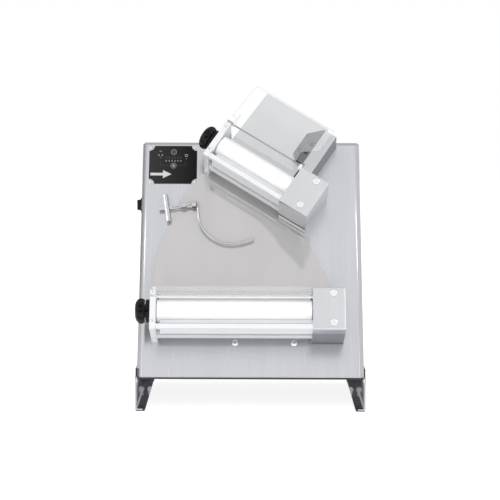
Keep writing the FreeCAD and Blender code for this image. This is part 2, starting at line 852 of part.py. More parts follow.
def housing_pillars():
    pillars = []
    for y in (bolt_low, bolt_high):
        pillar = rod(pillar_radius, (cover_bolt_x, y, 0), (cover_bolt_x, y, unit_rise - housing_sheet))
        pillars.append(pillar.cut([screw_hole(*bolt) for bolt in cover_bolts()]))
    return pillars


def roller(left, z):
    """White plastic sleeve on its steel core."""
    x0, x1 = left + roller_end_play, -roller_end_play
    core = rod(core_radius, (x0 - 1, 0, 0), (x1 + 1, 0, 0))
    return at_axis(rod(roller_radius, (x0, 0, 0), (x1, 0, 0)).cut(core), 0, z)


def shaft(left, left_end, z):
    """Steel shaft: thick inside the sleeve, turned down where it runs in its bearings and gear."""
    core = rod(core_radius, (left + roller_end_play, 0, 0), (-roller_end_play, 0, 0))
    journals = rod(journal_radius, (left_end, 0, 0), (gear_right + 1, 0, 0))
    return at_axis(fused([core, journals]), 0, z)


def rear_bushes(left):
    bore = journal_radius + running_clearance
    bushes = []
    for x0, x1 in ((left - bush_depth, left), (gear_plate_inset, gear_plate_right)):
        ring = rod(bush_radius, (x0, 0, 0), (x1, 0, 0)).cut(rod(bore, (x0 - 1, 0, 0), (x1 + 1, 0, 0)))
        bushes.append(at_axis(ring, 0, rear_axis_z))
    return bushes


def slide_blocks(left):
    """Bronze blocks that carry the front roller; the left one has the pocket of the eccentric disc."""
    outer = left - end_plate_thickness
    bore = journal_radius + running_clearance
    spans = ((outer, left, left - block_bore_depth), (gear_plate_inset, gear_plate_right, 0))
    blocks = []
    for x0, x1, bore_from in spans:
        block = box(x0, x1, -block_half_width, block_half_width, -block_half_length, block_half_length)
        blocks.append(block.cut(rod(bore, (bore_from, 0, 0), (x1 + 1, 0, 0))))
    half_z = eccentric_disc_radius + yoke_clearance
    half_y = half_z + eccentricity
    pocket = box(outer - 1, outer + eccentric_disc_depth + 0.4, -half_y, half_y, -half_z, half_z)
    blocks[0] = blocks[0].cut(rounded(pocket, (1, 0, 0), 0.6 * half_z))
    return [at_axis(block, 0, front_axis_z) for block in blocks]


def gap_collar(left):
    outer = left - end_plate_thickness
    ring = rod(collar_radius, (outer - collar_length, 0, 0), (outer, 0, 0))
    bore_radius = eccentric_spindle_radius + running_clearance
    bore = rod(bore_radius, (outer - collar_length - 1, 0, 0), (outer + 1, 0, 0))
    return at_axis(ring.cut(bore), 0, front_axis_z)


def gap_eccentric(left):
    """Knob spindle with the disc at its end, off centre up the panel at the middle setting."""
    outer = left - end_plate_thickness
    head_face = outer - collar_length - knob_gap - knob_neck_length
    spindle = rod(eccentric_spindle_radius, (head_face - 0.6 * knob_length, 0, 0), (outer, 0, 0))
    disc_end = outer + eccentric_disc_depth
    disc = rod(eccentric_disc_radius, (outer, eccentricity, 0), (disc_end, eccentricity, 0))
    return at_axis(fused([spindle, disc]), 0, front_axis_z)


def gap_knob(left):
    outer = left - end_plate_thickness
    neck_face = outer - collar_length - knob_gap
    head = lobed_knob()
    head.translate(Vector(neck_face - knob_neck_length - knob_length, 0, 0))
    neck = rod(knob_neck_radius, (neck_face - knob_neck_length - 1, 0, 0), (neck_face, 0, 0))
    bore_end = neck_face - knob_neck_length - 0.6 * knob_length
    bore = rod(eccentric_spindle_radius, (bore_end, 0, 0), (neck_face + 1, 0, 0))
    return at_axis(fused([head, neck]).cut(bore), 0, front_axis_z)


def tie_bars(left, hinged):
    """Bars along the foot, one in front and one behind the outlet, and a round rod along the top."""
    low = housing_sheet + 0.2
    high = low + tie_bar_height
    right = gear_plate_inset
    front_face = unit_rise - tie_bar_set_back
    front = box(left, right, low, high, front_face - tie_bar_depth, front_face)
    middle = box(left, right, low, high, outlet_rear - middle_bar_depth, outlet_rear)
    rod_y = axis_above_foot + roller_radius + 1
    rod_z = unit_rise - 8
    top = rod(tie_rod_radius, (left, rod_y, rod_z), (right, rod_y, rod_z))
    if hinged:
        ends = (left - end_plate_thickness, -hinge_ear_play)
        top = rod(hinge_pin_radius, (ends[0], hinge_up, hinge_rise), (ends[1], hinge_up, hinge_rise))
    return [front, middle, top]


def below_roller(z, axis_z):
    """Height over the foot, at a distance from the panel, that clears a roller by a hair."""
    radius = roller_radius + scraper_clearance
    return axis_above_foot - math.sqrt(radius ** 2 - (axis_z - z) ** 2)


def scrapers(left):
    """Plastic bars whose edges clear the rollers; the disc drops out between them, below the nip."""
    right = gear_plate_inset
    low = housing_sheet + 1.5
    shelf = low + scraper_height
    face = unit_rise - tie_bar_set_back - tie_bar_depth
    groove_end = face - scraper_groove_depth
    lip_low = shelf - 0.7 + scraper_groove_width
    tip_z = face - scraper_lip_set_back
    tip_y = below_roller(tip_z - 1, front_axis_z + gap_travel)
    profile = [
        (low, face), (low, outlet_front), (shelf, outlet_front), (lip_low, tip_z - 2 * scraper_lip_set_back),
        (tip_y, tip_z - 1), (tip_y, tip_z), (lip_low, tip_z), (lip_low, groove_end),
        (shelf - 0.7, groove_end), (shelf - 0.7, face),
    ]
    front = slab_x(profile, left + scraper_inset, right)
    foot = housing_sheet + 0.2 + tie_bar_height
    root_z = outlet_rear - middle_bar_depth + scraper_lip
    tip_z = outlet_rear - rear_scraper_reach
    tip_y = below_roller(tip_z, rear_axis_z)
    near_z = tip_z - scraper_lip
    near_y = below_roller(near_z, rear_axis_z) - 0.5
    profile = [
        (foot, root_z), (near_y, near_z), (tip_y, tip_z), (tip_y, tip_z + 1),
        (foot, root_z + rear_scraper_width),
    ]
    return [front, slab_x(profile, left, right)]


def gear_motor():
    """Gearbox bolted to the gear plate inside the body, with the motor on its far end."""
    x1 = gear_plate_inset
    x0 = x1 - gearbox_length
    z1 = -panel_clearance
    z0 = z1 - gearbox_depth
    case = box(x0, x1, axis_above_foot - gearbox_half_width, axis_above_foot + gearbox_half_width, z0, z1)
    case = rounded(case, (1, 0, 0), 6.0)
    motor_z = (z0 + z1) / 2 - 1
    motor = rod(motor_radius, (x0 - motor_length, axis_above_foot, motor_z), (x0, axis_above_foot, motor_z))
    bore = rod(
        drive_spindle_radius + running_clearance,
        (x0 + 12, axis_above_foot, drive_axis_z), (x1 + 1, axis_above_foot, drive_axis_z),
    )
    return fused([case, motor]).cut(bore)


def drive_gear():
    tooth = math.pi / 2
    wheel = gear(drive_gear_teeth, drive_spindle_radius, tooth)
    spindle = rod(drive_spindle_radius, (gear_plate_inset - gearbox_length + 13, 0, 0), (gear_right, 0, 0))
    return at_axis(fused([wheel, spindle]), 0, drive_axis_z)


def roller_unit(name, roller_length, frame, hinged):
    left = -roller_length
    add(name + "_end_plate", end_plate(left, hinged), frame)
    add(name + "_gear_plate", gear_plate(hinged), frame)
    add(name + "_gear_housing", gear_housing(), frame)
    add(name + "_front_roller", roller(left, front_axis_z), frame)
    add(name + "_rear_roller", roller(left, rear_axis_z), frame)
    add(name + "_front_shaft", shaft(left, left - block_bore_depth + 0.5, front_axis_z), frame)
    add(name + "_rear_shaft", shaft(left, left - bush_depth + 0.5, rear_axis_z), frame)
    tooth = 2 * math.pi / roller_gear_teeth
    front_gear = gear(roller_gear_teeth, journal_radius, -math.pi / 2)
    rear_gear = gear(roller_gear_teeth, journal_radius, math.pi / 2 + tooth / 2)
    add(name + "_front_gear", at_axis(front_gear, 0, front_axis_z), frame)
    add(name + "_rear_gear", at_axis(rear_gear, 0, rear_axis_z), frame)
    add(name + "_drive_gear", drive_gear(), frame)
    add(name + "_gear_motor", gear_motor(), frame)
    add(name + "_rear_bushes", rear_bushes(left), frame)
    add(name + "_slide_blocks", slide_blocks(left), frame)
    add(name + "_gap_collar", gap_collar(left), frame)
    add(name + "_gap_eccentric", gap_eccentric(left), frame)
    add(name + "_gap_knob", gap_knob(left), frame)
    add(name + "_tie_bars", tie_bars(left, hinged), frame)
    add(name + "_scrapers", scrapers(left), frame)
    fasteners = [dome_screw(*screw) for screw in plate_screws(left) + cover_bolts()] + housing_pillars()
    if hinged:
        fasteners += [dome_screw(*bolt) for bolt in flange_bolts()]
    add(name + "_fasteners", fasteners, frame)


# Lower guard: a clear angle over the nip, fixed on the end plate's front and top, and notched round
# the upper screw.
def lower_guard(left):
    plate_left = left - end_plate_thickness + 0.5
    low = unit_height - guard_drop
    high = unit_height + guard_sheet
    face = unit_rise + guard_sheet
    above = face + guard_sheet
    front = box(plate_left, -0.5, low, high, unit_rise, face)
    top = box(plate_left, -0.5, unit_height, high, unit_rise - lower_guard_depth, face)
    size, length, spot, facing = plate_screws(left)[0]
    spot = Vector(*spot)
    notch_radius = 1.1 * size
    notch = box(plate_left - 1, spot.x, spot.y - notch_radius, spot.y + notch_radius, unit_rise - 1, above)
    end = rod(notch_radius, (spot.x, spot.y, unit_rise - 1), (spot.x, spot.y, above))
    return fused([front, top]).cut([notch, end])


# Upper guard and its arms, pinned to the ears of the end plate and the gear plate.
guard_fold = unit_height + 1
guard_rise = unit_rise + guard_gap
guard_slope = (guard_rise - guard_top_rise) / (guard_top - guard_fold)
right_arm = -hinge_ear_width - hinge_ear_play - arm_inset


def under_guard(y):
    """Distance from the panel of the guard's underside."""
    return guard_rise - guard_slope * (y - guard_fold)


def upper_guard(left):
    face = guard_rise + guard_sheet
    low = unit_height - guard_drop
    strip_left = left + 0.5
    strip_top = unit_height + 2
    strip_outline = [(strip_left, low), (-9, low), (right_arm, strip_top), (strip_left, strip_top)]
    strip = slab_z(strip_outline, guard_rise, face)
    side = [
        (guard_fold, guard_rise), (guard_top, guard_top_rise),
        (guard_top, guard_top_rise + guard_sheet), (guard_fold, face),
    ]
    sheet = slab_x(side, left - guard_wing, guard_right)
    wing = hinge_up + 16
    above = guard_top + 5
    outline = [
        (strip_left, unit_height), (right_arm, unit_height), (right_arm, wing + 8), (guard_right, wing + 34),
        (guard_right, above), (left - guard_wing, above), (left - guard_wing, wing), (strip_left, wing),
    ]
    return fused([strip, sheet.common(slab_z(outline, 0, 2 * unit_rise))])


def guard_arms(left):
    profile = [
        (hinge_up - 5, hinge_rise), (hinge_up, hinge_rise - 5), (hinge_up + 6, hinge_rise - 3),
        (hinge_up + arm_reach, under_guard(hinge_up + arm_reach)), (hinge_up - 1, under_guard(hinge_up - 1)),
    ]
    pin = hinge_pin_radius + running_clearance
    arms = []
    for x0 in (left + 1.5, right_arm):
        bore = rod(pin, (x0 - 1, hinge_up, hinge_rise), (x0 + arm_thickness + 1, hinge_up, hinge_rise))
        arms.append(slab_x(profile, x0, x0 + arm_thickness).cut(bore))
    return arms


# Feed chute: flat sheet that leads the dough ball into the upper nip, on a folded leg along its right.
def feed_chute():
    fall = math.tan(math.radians(chute_slope))
    end_rise = chute_start_rise - fall * (chute_top - chute_start)
    outline = [
        (chute_start, chute_start_rise), (chute_top, end_rise),
        (chute_top, end_rise - chute_sheet), (chute_start, chute_start_rise - chute_sheet),
    ]
    sheet = slab_x(outline, chute_left, chute_right)
    leg = box(chute_right - chute_sheet, chute_right, chute_leg_start, chute_leg_top, 0, chute_start_rise)
    below = [(chute_start, -1), (chute_top, -1)] + outline[1::-1]
    leg = leg.common(slab_x(below, chute_left, 0))
    foot_left = chute_right - chute_foot
    foot = box(foot_left, chute_right, chute_leg_start, chute_leg_top, 0, chute_sheet)
    return fused([sheet, leg, foot])


def chute_rise(y):
    """Height of the chute's upper side over the panel."""
    return chute_start_rise - math.tan(math.radians(chute_slope)) * (y - chute_start)


def flange_bolts():
    """Three bolts through the bracket's inclined flange, square to it."""
    turn_x = chute_right + 2
    low = chute_rise(bracket_flange_start + bracket_corner) + bracket_seat + bracket_sheet
    rise = (bracket_rise - low) / bracket_flange
    bolts = []
    spots = (
        (flange_bolt_far, flange_bolt_low), (flange_bolt_near, flange_bolt_low),
        (flange_bolt_near, flange_bolt_high),
    )
    for inset, up in spots:
        x = turn_x - inset
        y = bracket_flange_start + up
        z = bracket_rise + rise * (x - turn_x)
        bolts.append((medium_screw, 5, (x, y, z), (-rise, 0, 1)))
    return bolts


def chute_bracket():
    """Folded side bracket: foot on the panel, side wall, front strip, and a flange down to the chute."""
    turn_x = chute_right + 2
    flange_left = turn_x - bracket_flange
    low = chute_rise(bracket_flange_start + bracket_corner) + bracket_seat
    t = bracket_sheet
    foot_left = bracket_foot_right - bracket_foot
    section = [
        (bracket_foot_right, 0), (bracket_front_right, bracket_rise), (turn_x, bracket_rise),
        (flange_left, low + t), (flange_left, low), (turn_x + 1, bracket_rise - t),
        (bracket_front_right - t, bracket_rise - t), (bracket_foot_right - t, t),
        (foot_left, t), (foot_left, 0),
    ]
    strip = prism([(x, bracket_start, z) for x, z in section], (0, bracket_top - bracket_start, 0))
    step_x = turn_x + 5
    outline = [
        (flange_left - 1, bracket_flange_start + bracket_corner + 1),
        (flange_left + bracket_corner + 3, bracket_flange_start), (step_x, bracket_flange_start - 2),
        (step_x, bracket_start - 1), (bracket_foot_right + 1, bracket_start - 1),
        (bracket_foot_right + 1, bracket_top + 1), (turn_x - 4, bracket_top + 1),
        (flange_left - 1, bracket_top - bracket_slant),
    ]
    return strip.common(slab_z(outline, -1, 80)).cut([screw_hole(*bolt) for bolt in flange_bolts()])


# Pendulum: post and pin fixed on the slide sheet; arm, weight and wire swing on the pin.
def from_pivot(distance, height, offset=0.0):
    """Point along the arm from the pivot, at a height over the panel."""
    angle = math.radians(arm_angle)
    x = pivot_across + distance * math.cos(angle) - offset * math.sin(angle)
    y = pivot_up + distance * math.sin(angle) + offset * math.cos(angle)
    return (x, y, height)


def along_arm(start, stop, half, height):
    """Corners of a bar that lies along the arm, between two distances from the pivot."""
    return [
        from_pivot(start, height, -half), from_pivot(stop, height, -half),
        from_pivot(stop, height, half), from_pivot(start, height, half),
    ]


arm_low = post_height + arm_gap
arm_high = arm_low + arm_sheet
wire_height = arm_high + wire_radius


def pendulum_post():
    post = rod(post_radius, (pivot_across, pivot_up, 0), (pivot_across, pivot_up, post_height))
    top = wire_height + wire_radius + 1
    pin = rod(pivot_pin_radius, (pivot_across, pivot_up, 0), (pivot_across, pivot_up, top))
    head = dome_screw(large_screw, 1, (pivot_across, pivot_up, top), (0, 0, 1))
    return fused([post, pin, head])


def pendulum_arm():
    half = arm_width / 2
    bar = prism(along_arm(0, arm_length, half, arm_low), (0, 0, arm_sheet))
    eye = rod(1.25 * post_radius, (pivot_across, pivot_up, arm_low), (pivot_across, pivot_up, arm_high))
    jaw_height = 2 * wire_radius + arm_sheet + 2
    jaw_ends = along_arm(clamp_at - clamp_half_length, clamp_at + clamp_half_length, half, arm_low)
    jaw = prism(jaw_ends, (0, 0, jaw_height))
    screw = dome_screw(medium_screw, 1, from_pivot(clamp_at, arm_low + jaw_height), (0, 0, 1))
    slot_from = clamp_at + clamp_half_length + 3
    slot_to = weight_at - weight_radius - 4
    slot = prism(along_arm(slot_from, slot_to, arm_slot_width / 2, 0), (0, 0, 2 * post_height))
    bore_radius = pivot_pin_radius + running_clearance
    bore = rod(bore_radius, (pivot_across, pivot_up, 0), (pivot_across, pivot_up, 2 * post_height))
    start, corner, first = wire_path()
    wire_bore = Part.makeCylinder(wire_radius, 2 * clamp_at, start, corner - start)
    return fused([bar, eye, jaw, screw]).cut([slot, bore, wire_bore])


def counterweight():
    tilt = math.radians(arm_angle + 90 - weight_skew)
    middle = Vector(*from_pivot(weight_at, (arm_low + arm_high) / 2))
    half = Vector(math.cos(tilt), math.sin(tilt), 0) * (weight_length / 2)
    weight = rod(weight_radius, tuple(middle - half), tuple(middle + half))
    rims = [e for e in weight.Edges if isinstance(e.Curve, Part.Circle)]
    weight = weight.makeFillet(0.8, rims)
    return weight.cut(prism(along_arm(0, arm_length, arm_width / 2, arm_low), (0, 0, arm_sheet)))


def wire_path():
    """Start in the clamp, corner beside the pivot, and the first point of the sweep."""
    start = from_pivot(clamp_at + 8.5, wire_height, 0.5)
    angle = math.radians(sweep_start)
    first_x = sweep_across + sweep_radius * math.cos(angle)
    first = (first_x, sweep_up + sweep_radius * math.sin(angle), wire_height)
    corner = (first_x - 1.5, pivot_up + 9.0, wire_height)
    return Vector(*start), Vector(*corner), Vector(*first)


def turning_wire():
    start, corner, first = wire_path()
    bend = 6.0
    into = (corner - start).normalize()
    out = (first - corner).normalize()
    turn = into.getAngle(out)
    set_back = bend * math.tan(turn / 2)
    bend_in = corner - into * set_back
    bend_out = corner + out * set_back
    towards = (out - into).normalize()
    bend_mid = corner + towards * (bend / math.cos(turn / 2) - bend)

    def sweep(angle, radius, centre):
        a = math.radians(angle)
        return Vector(centre[0] + radius * math.cos(a), centre[1] + radius * math.sin(a), wire_height)

    centre = (sweep_across, sweep_up)
    stop = math.radians(sweep_stop)
    far = sweep_radius - tail_radius
    tail_centre = (sweep_across + far * math.cos(stop), sweep_up + far * math.sin(stop))
    middle = sweep((sweep_start + sweep_stop) / 2, sweep_radius, centre)
    arc_end = sweep(sweep_stop, sweep_radius, centre)
    arc = Part.Arc(first, middle, arc_end)
    tail = Part.Arc(
        arc_end,
        sweep(sweep_stop + tail_turn / 2, tail_radius, tail_centre),
        sweep(sweep_stop + tail_turn, tail_radius, tail_centre),
    )
    path = Part.Wire([
        Part.LineSegment(start, bend_in).toShape(), Part.Arc(bend_in, bend_mid, bend_out).toShape(),
        Part.LineSegment(bend_out, first).toShape(), arc.toShape(), tail.toShape(),
    ])
    ring = Part.Wire([Part.makeCircle(wire_radius, start, into)])
    return path.makePipeShell([ring], True, True)


# Main switch on the left wall: square flange, contact block behind the wall, and the knob that turns.
def main_switch():
    wall = -half_width
    side = switch_side / 2
    low, high = switch_height - side, switch_height + side
    flange = box(wall - switch_plate, wall, switch_y - side, switch_y + side, low, high)
    flange = rounded(flange, (1, 0, 0), 4.0)
    inside = wall + body_sheet
    neck_from, neck_to = (wall - 1, switch_y, switch_height), (inside + 1, switch_y, switch_height)
    neck = rod(switch_neck_radius, neck_from, neck_to)
    half = switch_block / 2
    block = box(
        inside, inside + switch_block_depth, switch_y - half, switch_y + half,
        switch_height - half, switch_height + half,
    )
    bore = rod(
        switch_spindle_radius + running_clearance,
        (wall - switch_plate - 1, switch_y, switch_height), (wall + 12, switch_y, switch_height),
    )
    return fused([flange, neck, block]).cut(bore)


def switch_knob():
    face = -half_width - switch_plate - 0.2
    centre = (switch_y, switch_height)
    base = rod(switch_knob_radius, (face - 0.4 * switch_knob_length, *centre), (face, *centre))
    bar = box(
        face - switch_knob_length, face - 1, switch_y - 3.5, switch_y + 3.5,
        switch_height - 0.9 * switch_knob_radius, switch_height + 0.9 * switch_knob_radius,
    )
    bar = rounded(bar, (1, 0, 0), 3.0)
    spindle = rod(switch_spindle_radius, (face - 1, *centre), (-half_width + 11, *centre))
    return fused([base, bar, spindle])


# Cable gland through the back cover; the cord itself isn't part of the model.
def cable_gland():
    back = rear_y + cover_sheet
    spot = (gland_across, gland_height)

    def ring(radius, y0, y1):
        return rod(radius, (spot[0], y0, spot[1]), (spot[0], y1, spot[1]))

    corner = 1.1 * gland_radius
    hexagon = []
    for step in range(6):
        angle = math.pi * step / 3
        hexagon.append((spot[0] + corner * math.cos(angle), back, spot[1] + corner * math.sin(angle)))
    outside = prism(hexagon, (0, 0.35 * gland_length, 0))
    dome = ring(gland_radius * 0.9, back + 1, back + gland_length)
    rims = [e for e in dome.Edges if e.CenterOfMass.y > back + gland_length - 0.1]
    dome = dome.makeFillet(3.0, rims)
    thread = ring(0.7 * gland_radius, rear_y - 8, back + 1)
    locknut = ring(gland_radius, rear_y - 5, rear_y)
    bore = ring(gland_bore_radius, rear_y - 9, back + gland_length + 1)
    return fused([outside, dome, thread, locknut]).cut(bore)


add("body_shell", body_shell())
add("back_cover", back_cover())
add("base_plate", base_plate())
add("skid_left", skid(-1))
add("skid_right", skid(1))
add("foot_pads", foot_pads())
add("body_screws", body_screws())
add("body_screws", panel_screws(), panel_frame)
add("control_plate", control_plate(), panel_frame)
add("control_board", control_board(), panel_frame)
add("slide_sheet", slide_sheet(), panel_frame)
roller_unit("lower", lower_roller_length, lower_frame, False)
roller_unit("upper", upper_roller_length, upper_frame, True)
add("lower_guard", lower_guard(-lower_roller_length), lower_frame)
add("upper_guard", upper_guard(-upper_roller_length), upper_frame)
add("guard_arms", guard_arms(-upper_roller_length), upper_frame)
add("feed_chute", feed_chute(), upper_frame)
add("chute_bracket", chute_bracket(), upper_frame)
add("pendulum_post", pendulum_post(), panel_frame)
add("pendulum_arm", pendulum_arm(), panel_frame)
add("counterweight", counterweight(), panel_frame)
add("turning_wire", turning_wire(), panel_frame)
add("main_switch", main_switch())
add("switch_knob", switch_knob())
add("cable_gland", cable_gland())

os.makedirs("parts", exist_ok=True)
for name, solids in nodes.items():
    Part.makeCompound(solids).exportStep("parts/" + name + ".step")
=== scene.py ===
import json
import math

import bmesh
import bpy
from mathutils import Matrix, Vector

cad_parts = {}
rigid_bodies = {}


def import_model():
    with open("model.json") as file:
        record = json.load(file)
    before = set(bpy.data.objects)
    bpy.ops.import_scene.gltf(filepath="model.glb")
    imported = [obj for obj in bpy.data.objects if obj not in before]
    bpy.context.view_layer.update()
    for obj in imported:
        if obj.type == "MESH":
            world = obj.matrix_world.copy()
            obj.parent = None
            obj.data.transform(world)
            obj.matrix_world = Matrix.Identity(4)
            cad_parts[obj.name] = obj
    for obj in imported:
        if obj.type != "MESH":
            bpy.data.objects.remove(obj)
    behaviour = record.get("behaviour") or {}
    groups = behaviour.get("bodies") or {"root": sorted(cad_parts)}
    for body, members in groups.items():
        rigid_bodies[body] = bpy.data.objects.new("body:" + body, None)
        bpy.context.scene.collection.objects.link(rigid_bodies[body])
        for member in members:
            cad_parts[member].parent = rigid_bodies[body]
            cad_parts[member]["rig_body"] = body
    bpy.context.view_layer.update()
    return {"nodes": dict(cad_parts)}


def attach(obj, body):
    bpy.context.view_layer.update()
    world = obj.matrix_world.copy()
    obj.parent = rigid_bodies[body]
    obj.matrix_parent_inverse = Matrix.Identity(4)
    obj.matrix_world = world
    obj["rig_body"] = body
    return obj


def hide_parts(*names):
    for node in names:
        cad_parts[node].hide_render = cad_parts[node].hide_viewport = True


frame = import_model()


# Studio: a white floor under a bright sky that is dark low in front and grey behind, so that polished
# steel has something to mirror. Two narrow panels at the sides show only as reflections, and two in
# front only light the machine. The camera stands in front of it, a little above.
scene = bpy.context.scene
scene.view_settings.view_transform = "Standard"

camera_place = (-0.0018, -3.390, 0.757)
camera_fall = 7.2
camera_roll = 0.0033
view = bpy.data.cameras.new("camera")
view.sensor_width = 36.0
view.lens = 111.6
view.clip_end = 50.0
camera = bpy.data.objects.new("camera", view)
camera.matrix_basis = Matrix.Translation(camera_place) @ (
    Matrix.Rotation(math.radians(90 - camera_fall), 4, "X") @ Matrix.Rotation(camera_roll, 4, "Z"))
scene.collection.objects.link(camera)
scene.camera = camera


def colour(code):
    """Linear colour of an sRGB hex value."""
    channels = [int(code[i:i + 2], 16) / 255 for i in (0, 2, 4)]
    return [c / 12.92 if c <= 0.04045 else ((c + 0.055) / 1.055) ** 2.4 for c in channels] + [1.0]


def add(tree, kind, inputs, **settings):
    """Adds a node. An input takes a value or another node's output."""
    node = tree.nodes.new(kind)
    for name, value in settings.items():
        setattr(node, name, value)
    for name, value in inputs.items():
        if isinstance(value, bpy.types.NodeSocket):
            tree.links.new(value, node.inputs[name])
        else:
            node.inputs[name].default_value = value
    return node


sky = bpy.data.worlds.new("studio_sky")
sky.use_nodes = True
sky_tree = sky.node_tree
sky_tree.nodes.clear()
sky_place = add(sky_tree, "ShaderNodeTexCoord", {})
sky_split = add(sky_tree, "ShaderNodeSeparateXYZ", {0: sky_place.outputs["Generated"]})
sky_away = add(sky_tree, "ShaderNodeVectorMath", {
    0: sky_place.outputs["Generated"], 1: (0.0, -1.0, 0.1)}, operation="DISTANCE")
sky_front = add(sky_tree, "ShaderNodeMapRange", {
    "Value": sky_away.outputs["Value"], "From Min": 0.08, "From Max": 0.45, "To Min": 0.0, "To Max": 0.36})
sky_rise = add(sky_tree, "ShaderNodeMath", {
    0: sky_split.outputs["Z"], 1: sky_front.outputs[0]}, operation="ADD")
sky_ramp = add(sky_tree, "ShaderNodeValToRGB", {0: sky_rise.outputs[0]})
sky_stops = sky_ramp.color_ramp.elements
sky_stops[0].color = colour("3c3c3e")
sky_stops[1].color = colour("ffffff")
for height, code in ((0.16, "58585c"), (0.40, "eeeeef")):
    sky_stops.new(height).color = colour(code)
sky_behind = add(sky_tree, "ShaderNodeMapRange", {
    "Value": sky_split.outputs["Y"], "From Min": 0.0, "From Max": 0.6, "To Min": 0.0, "To Max": 0.6})
sky_tone = add(sky_tree, "ShaderNodeMix", {
    0: sky_behind.outputs[0], 6: sky_ramp.outputs["Color"], 7: colour("88888c")}, data_type="RGBA")
sky_seen = add(sky_tree, "ShaderNodeLightPath", {})
sky_light = add(sky_tree, "ShaderNodeBackground", {"Color": sky_tone.outputs[2], "Strength": 0.95})
sky_white = add(sky_tree, "ShaderNodeBackground", {"Color": colour("ffffff"), "Strength": 1.0})
sky_mix = add(sky_tree, "ShaderNodeMixShader", {
    0: sky_seen.outputs["Is Camera Ray"], 1: sky_light.outputs[0], 2: sky_white.outputs[0]})
add(sky_tree, "ShaderNodeOutputWorld", {"Surface": sky_mix.outputs[0]})
scene.world = sky


def light_panel(name, place, aim, width, height, power):
    """Soft panel of light that faces a point, in metres and watts."""
    lamp = bpy.data.lights.new(name, "AREA")
    lamp.shape = "RECTANGLE"
    lamp.size = width
    lamp.size_y = height
    lamp.energy = power
    holder = bpy.data.objects.new(name, lamp)
    turn = (Vector(place) - Vector(aim)).to_track_quat("Z", "Y")
    holder.matrix_basis = Matrix.Translation(place) @ turn.to_matrix().to_4x4()
    scene.collection.objects.link(holder)
    return holder


for side in (-1, 1):
    reflected = light_panel("soft_panel", (side * 2.3, -0.85, 1.7), (0, -0.1, 0.35), 0.35, 1.1, 8.0)
    reflected.visible_diffuse = False
for height, size, power in ((2.3, 2.2, 22.0), (0.45, 0.8, 9.0)):
    unseen = light_panel("front_panel", (0, -2.7, height), (0, 0, 0.4), size, size, power)
    unseen.visible_glossy = False

floor_reach = 6
floor_corners = [(-floor_reach, -floor_reach, 0), (floor_reach, -floor_reach, 0)]
floor_corners += [(floor_reach, floor_reach, 0), (-floor_reach, floor_reach, 0)]
floor_mesh = bpy.data.meshes.new("floor")
floor_mesh.from_pydata(floor_corners, [], [(0, 1, 2, 3)])
floor = bpy.data.objects.new("floor", floor_mesh)
scene.collection.objects.link(floor)
floor_paint = bpy.data.materials.new("white_paper_floor")
floor_paint.use_nodes = True
floor_tree = floor_paint.node_tree
floor_shader = floor_tree.nodes["Principled BSDF"]
floor_shader.inputs["Roughness"].default_value = 0.9
floor_place = add(floor_tree, "ShaderNodeTexCoord", {})
floor_tooth = add(floor_tree, "ShaderNodeTexNoise", {
    "Vector": floor_place.outputs["Object"], "Scale": 300.0, "Detail": 2.0})
floor_tone = add(floor_tree, "ShaderNodeMix", {
    0: floor_tooth.outputs["Fac"], 6: colour("b4b4b4"), 7: colour("bcbcbc")}, data_type="RGBA")
floor_tree.links.new(floor_tone.outputs[2], floor_shader.inputs["Base Color"])
floor_shader.inputs["Emission Color"].default_value = colour("ffffff")
floor_shader.inputs["Emission Strength"].default_value = 0.84
floor_mesh.materials.append(floor_paint)


# Body: one wedge of stainless sheet, brushed one way along the lean of its front panel. Its long
# edges are bent over a radius, so they catch the light as thin bright lines. The sheet underneath is
# painted dark, a painted shade for the unlit underside of the body.
lean = math.radians(27)
panel = Matrix.Translation((0, -0.150, 0.073)) @ Matrix.Rotation(math.pi / 2 - lean, 4, "X")
bend_radius = 0.0042
bend_depth = 0.0115
long_edge = 0.2
merge_distance = 2e-6
flat_angle = math.radians(0.6)
crease_angle = math.radians(32)
rounded_crease_angle = math.radians(50)


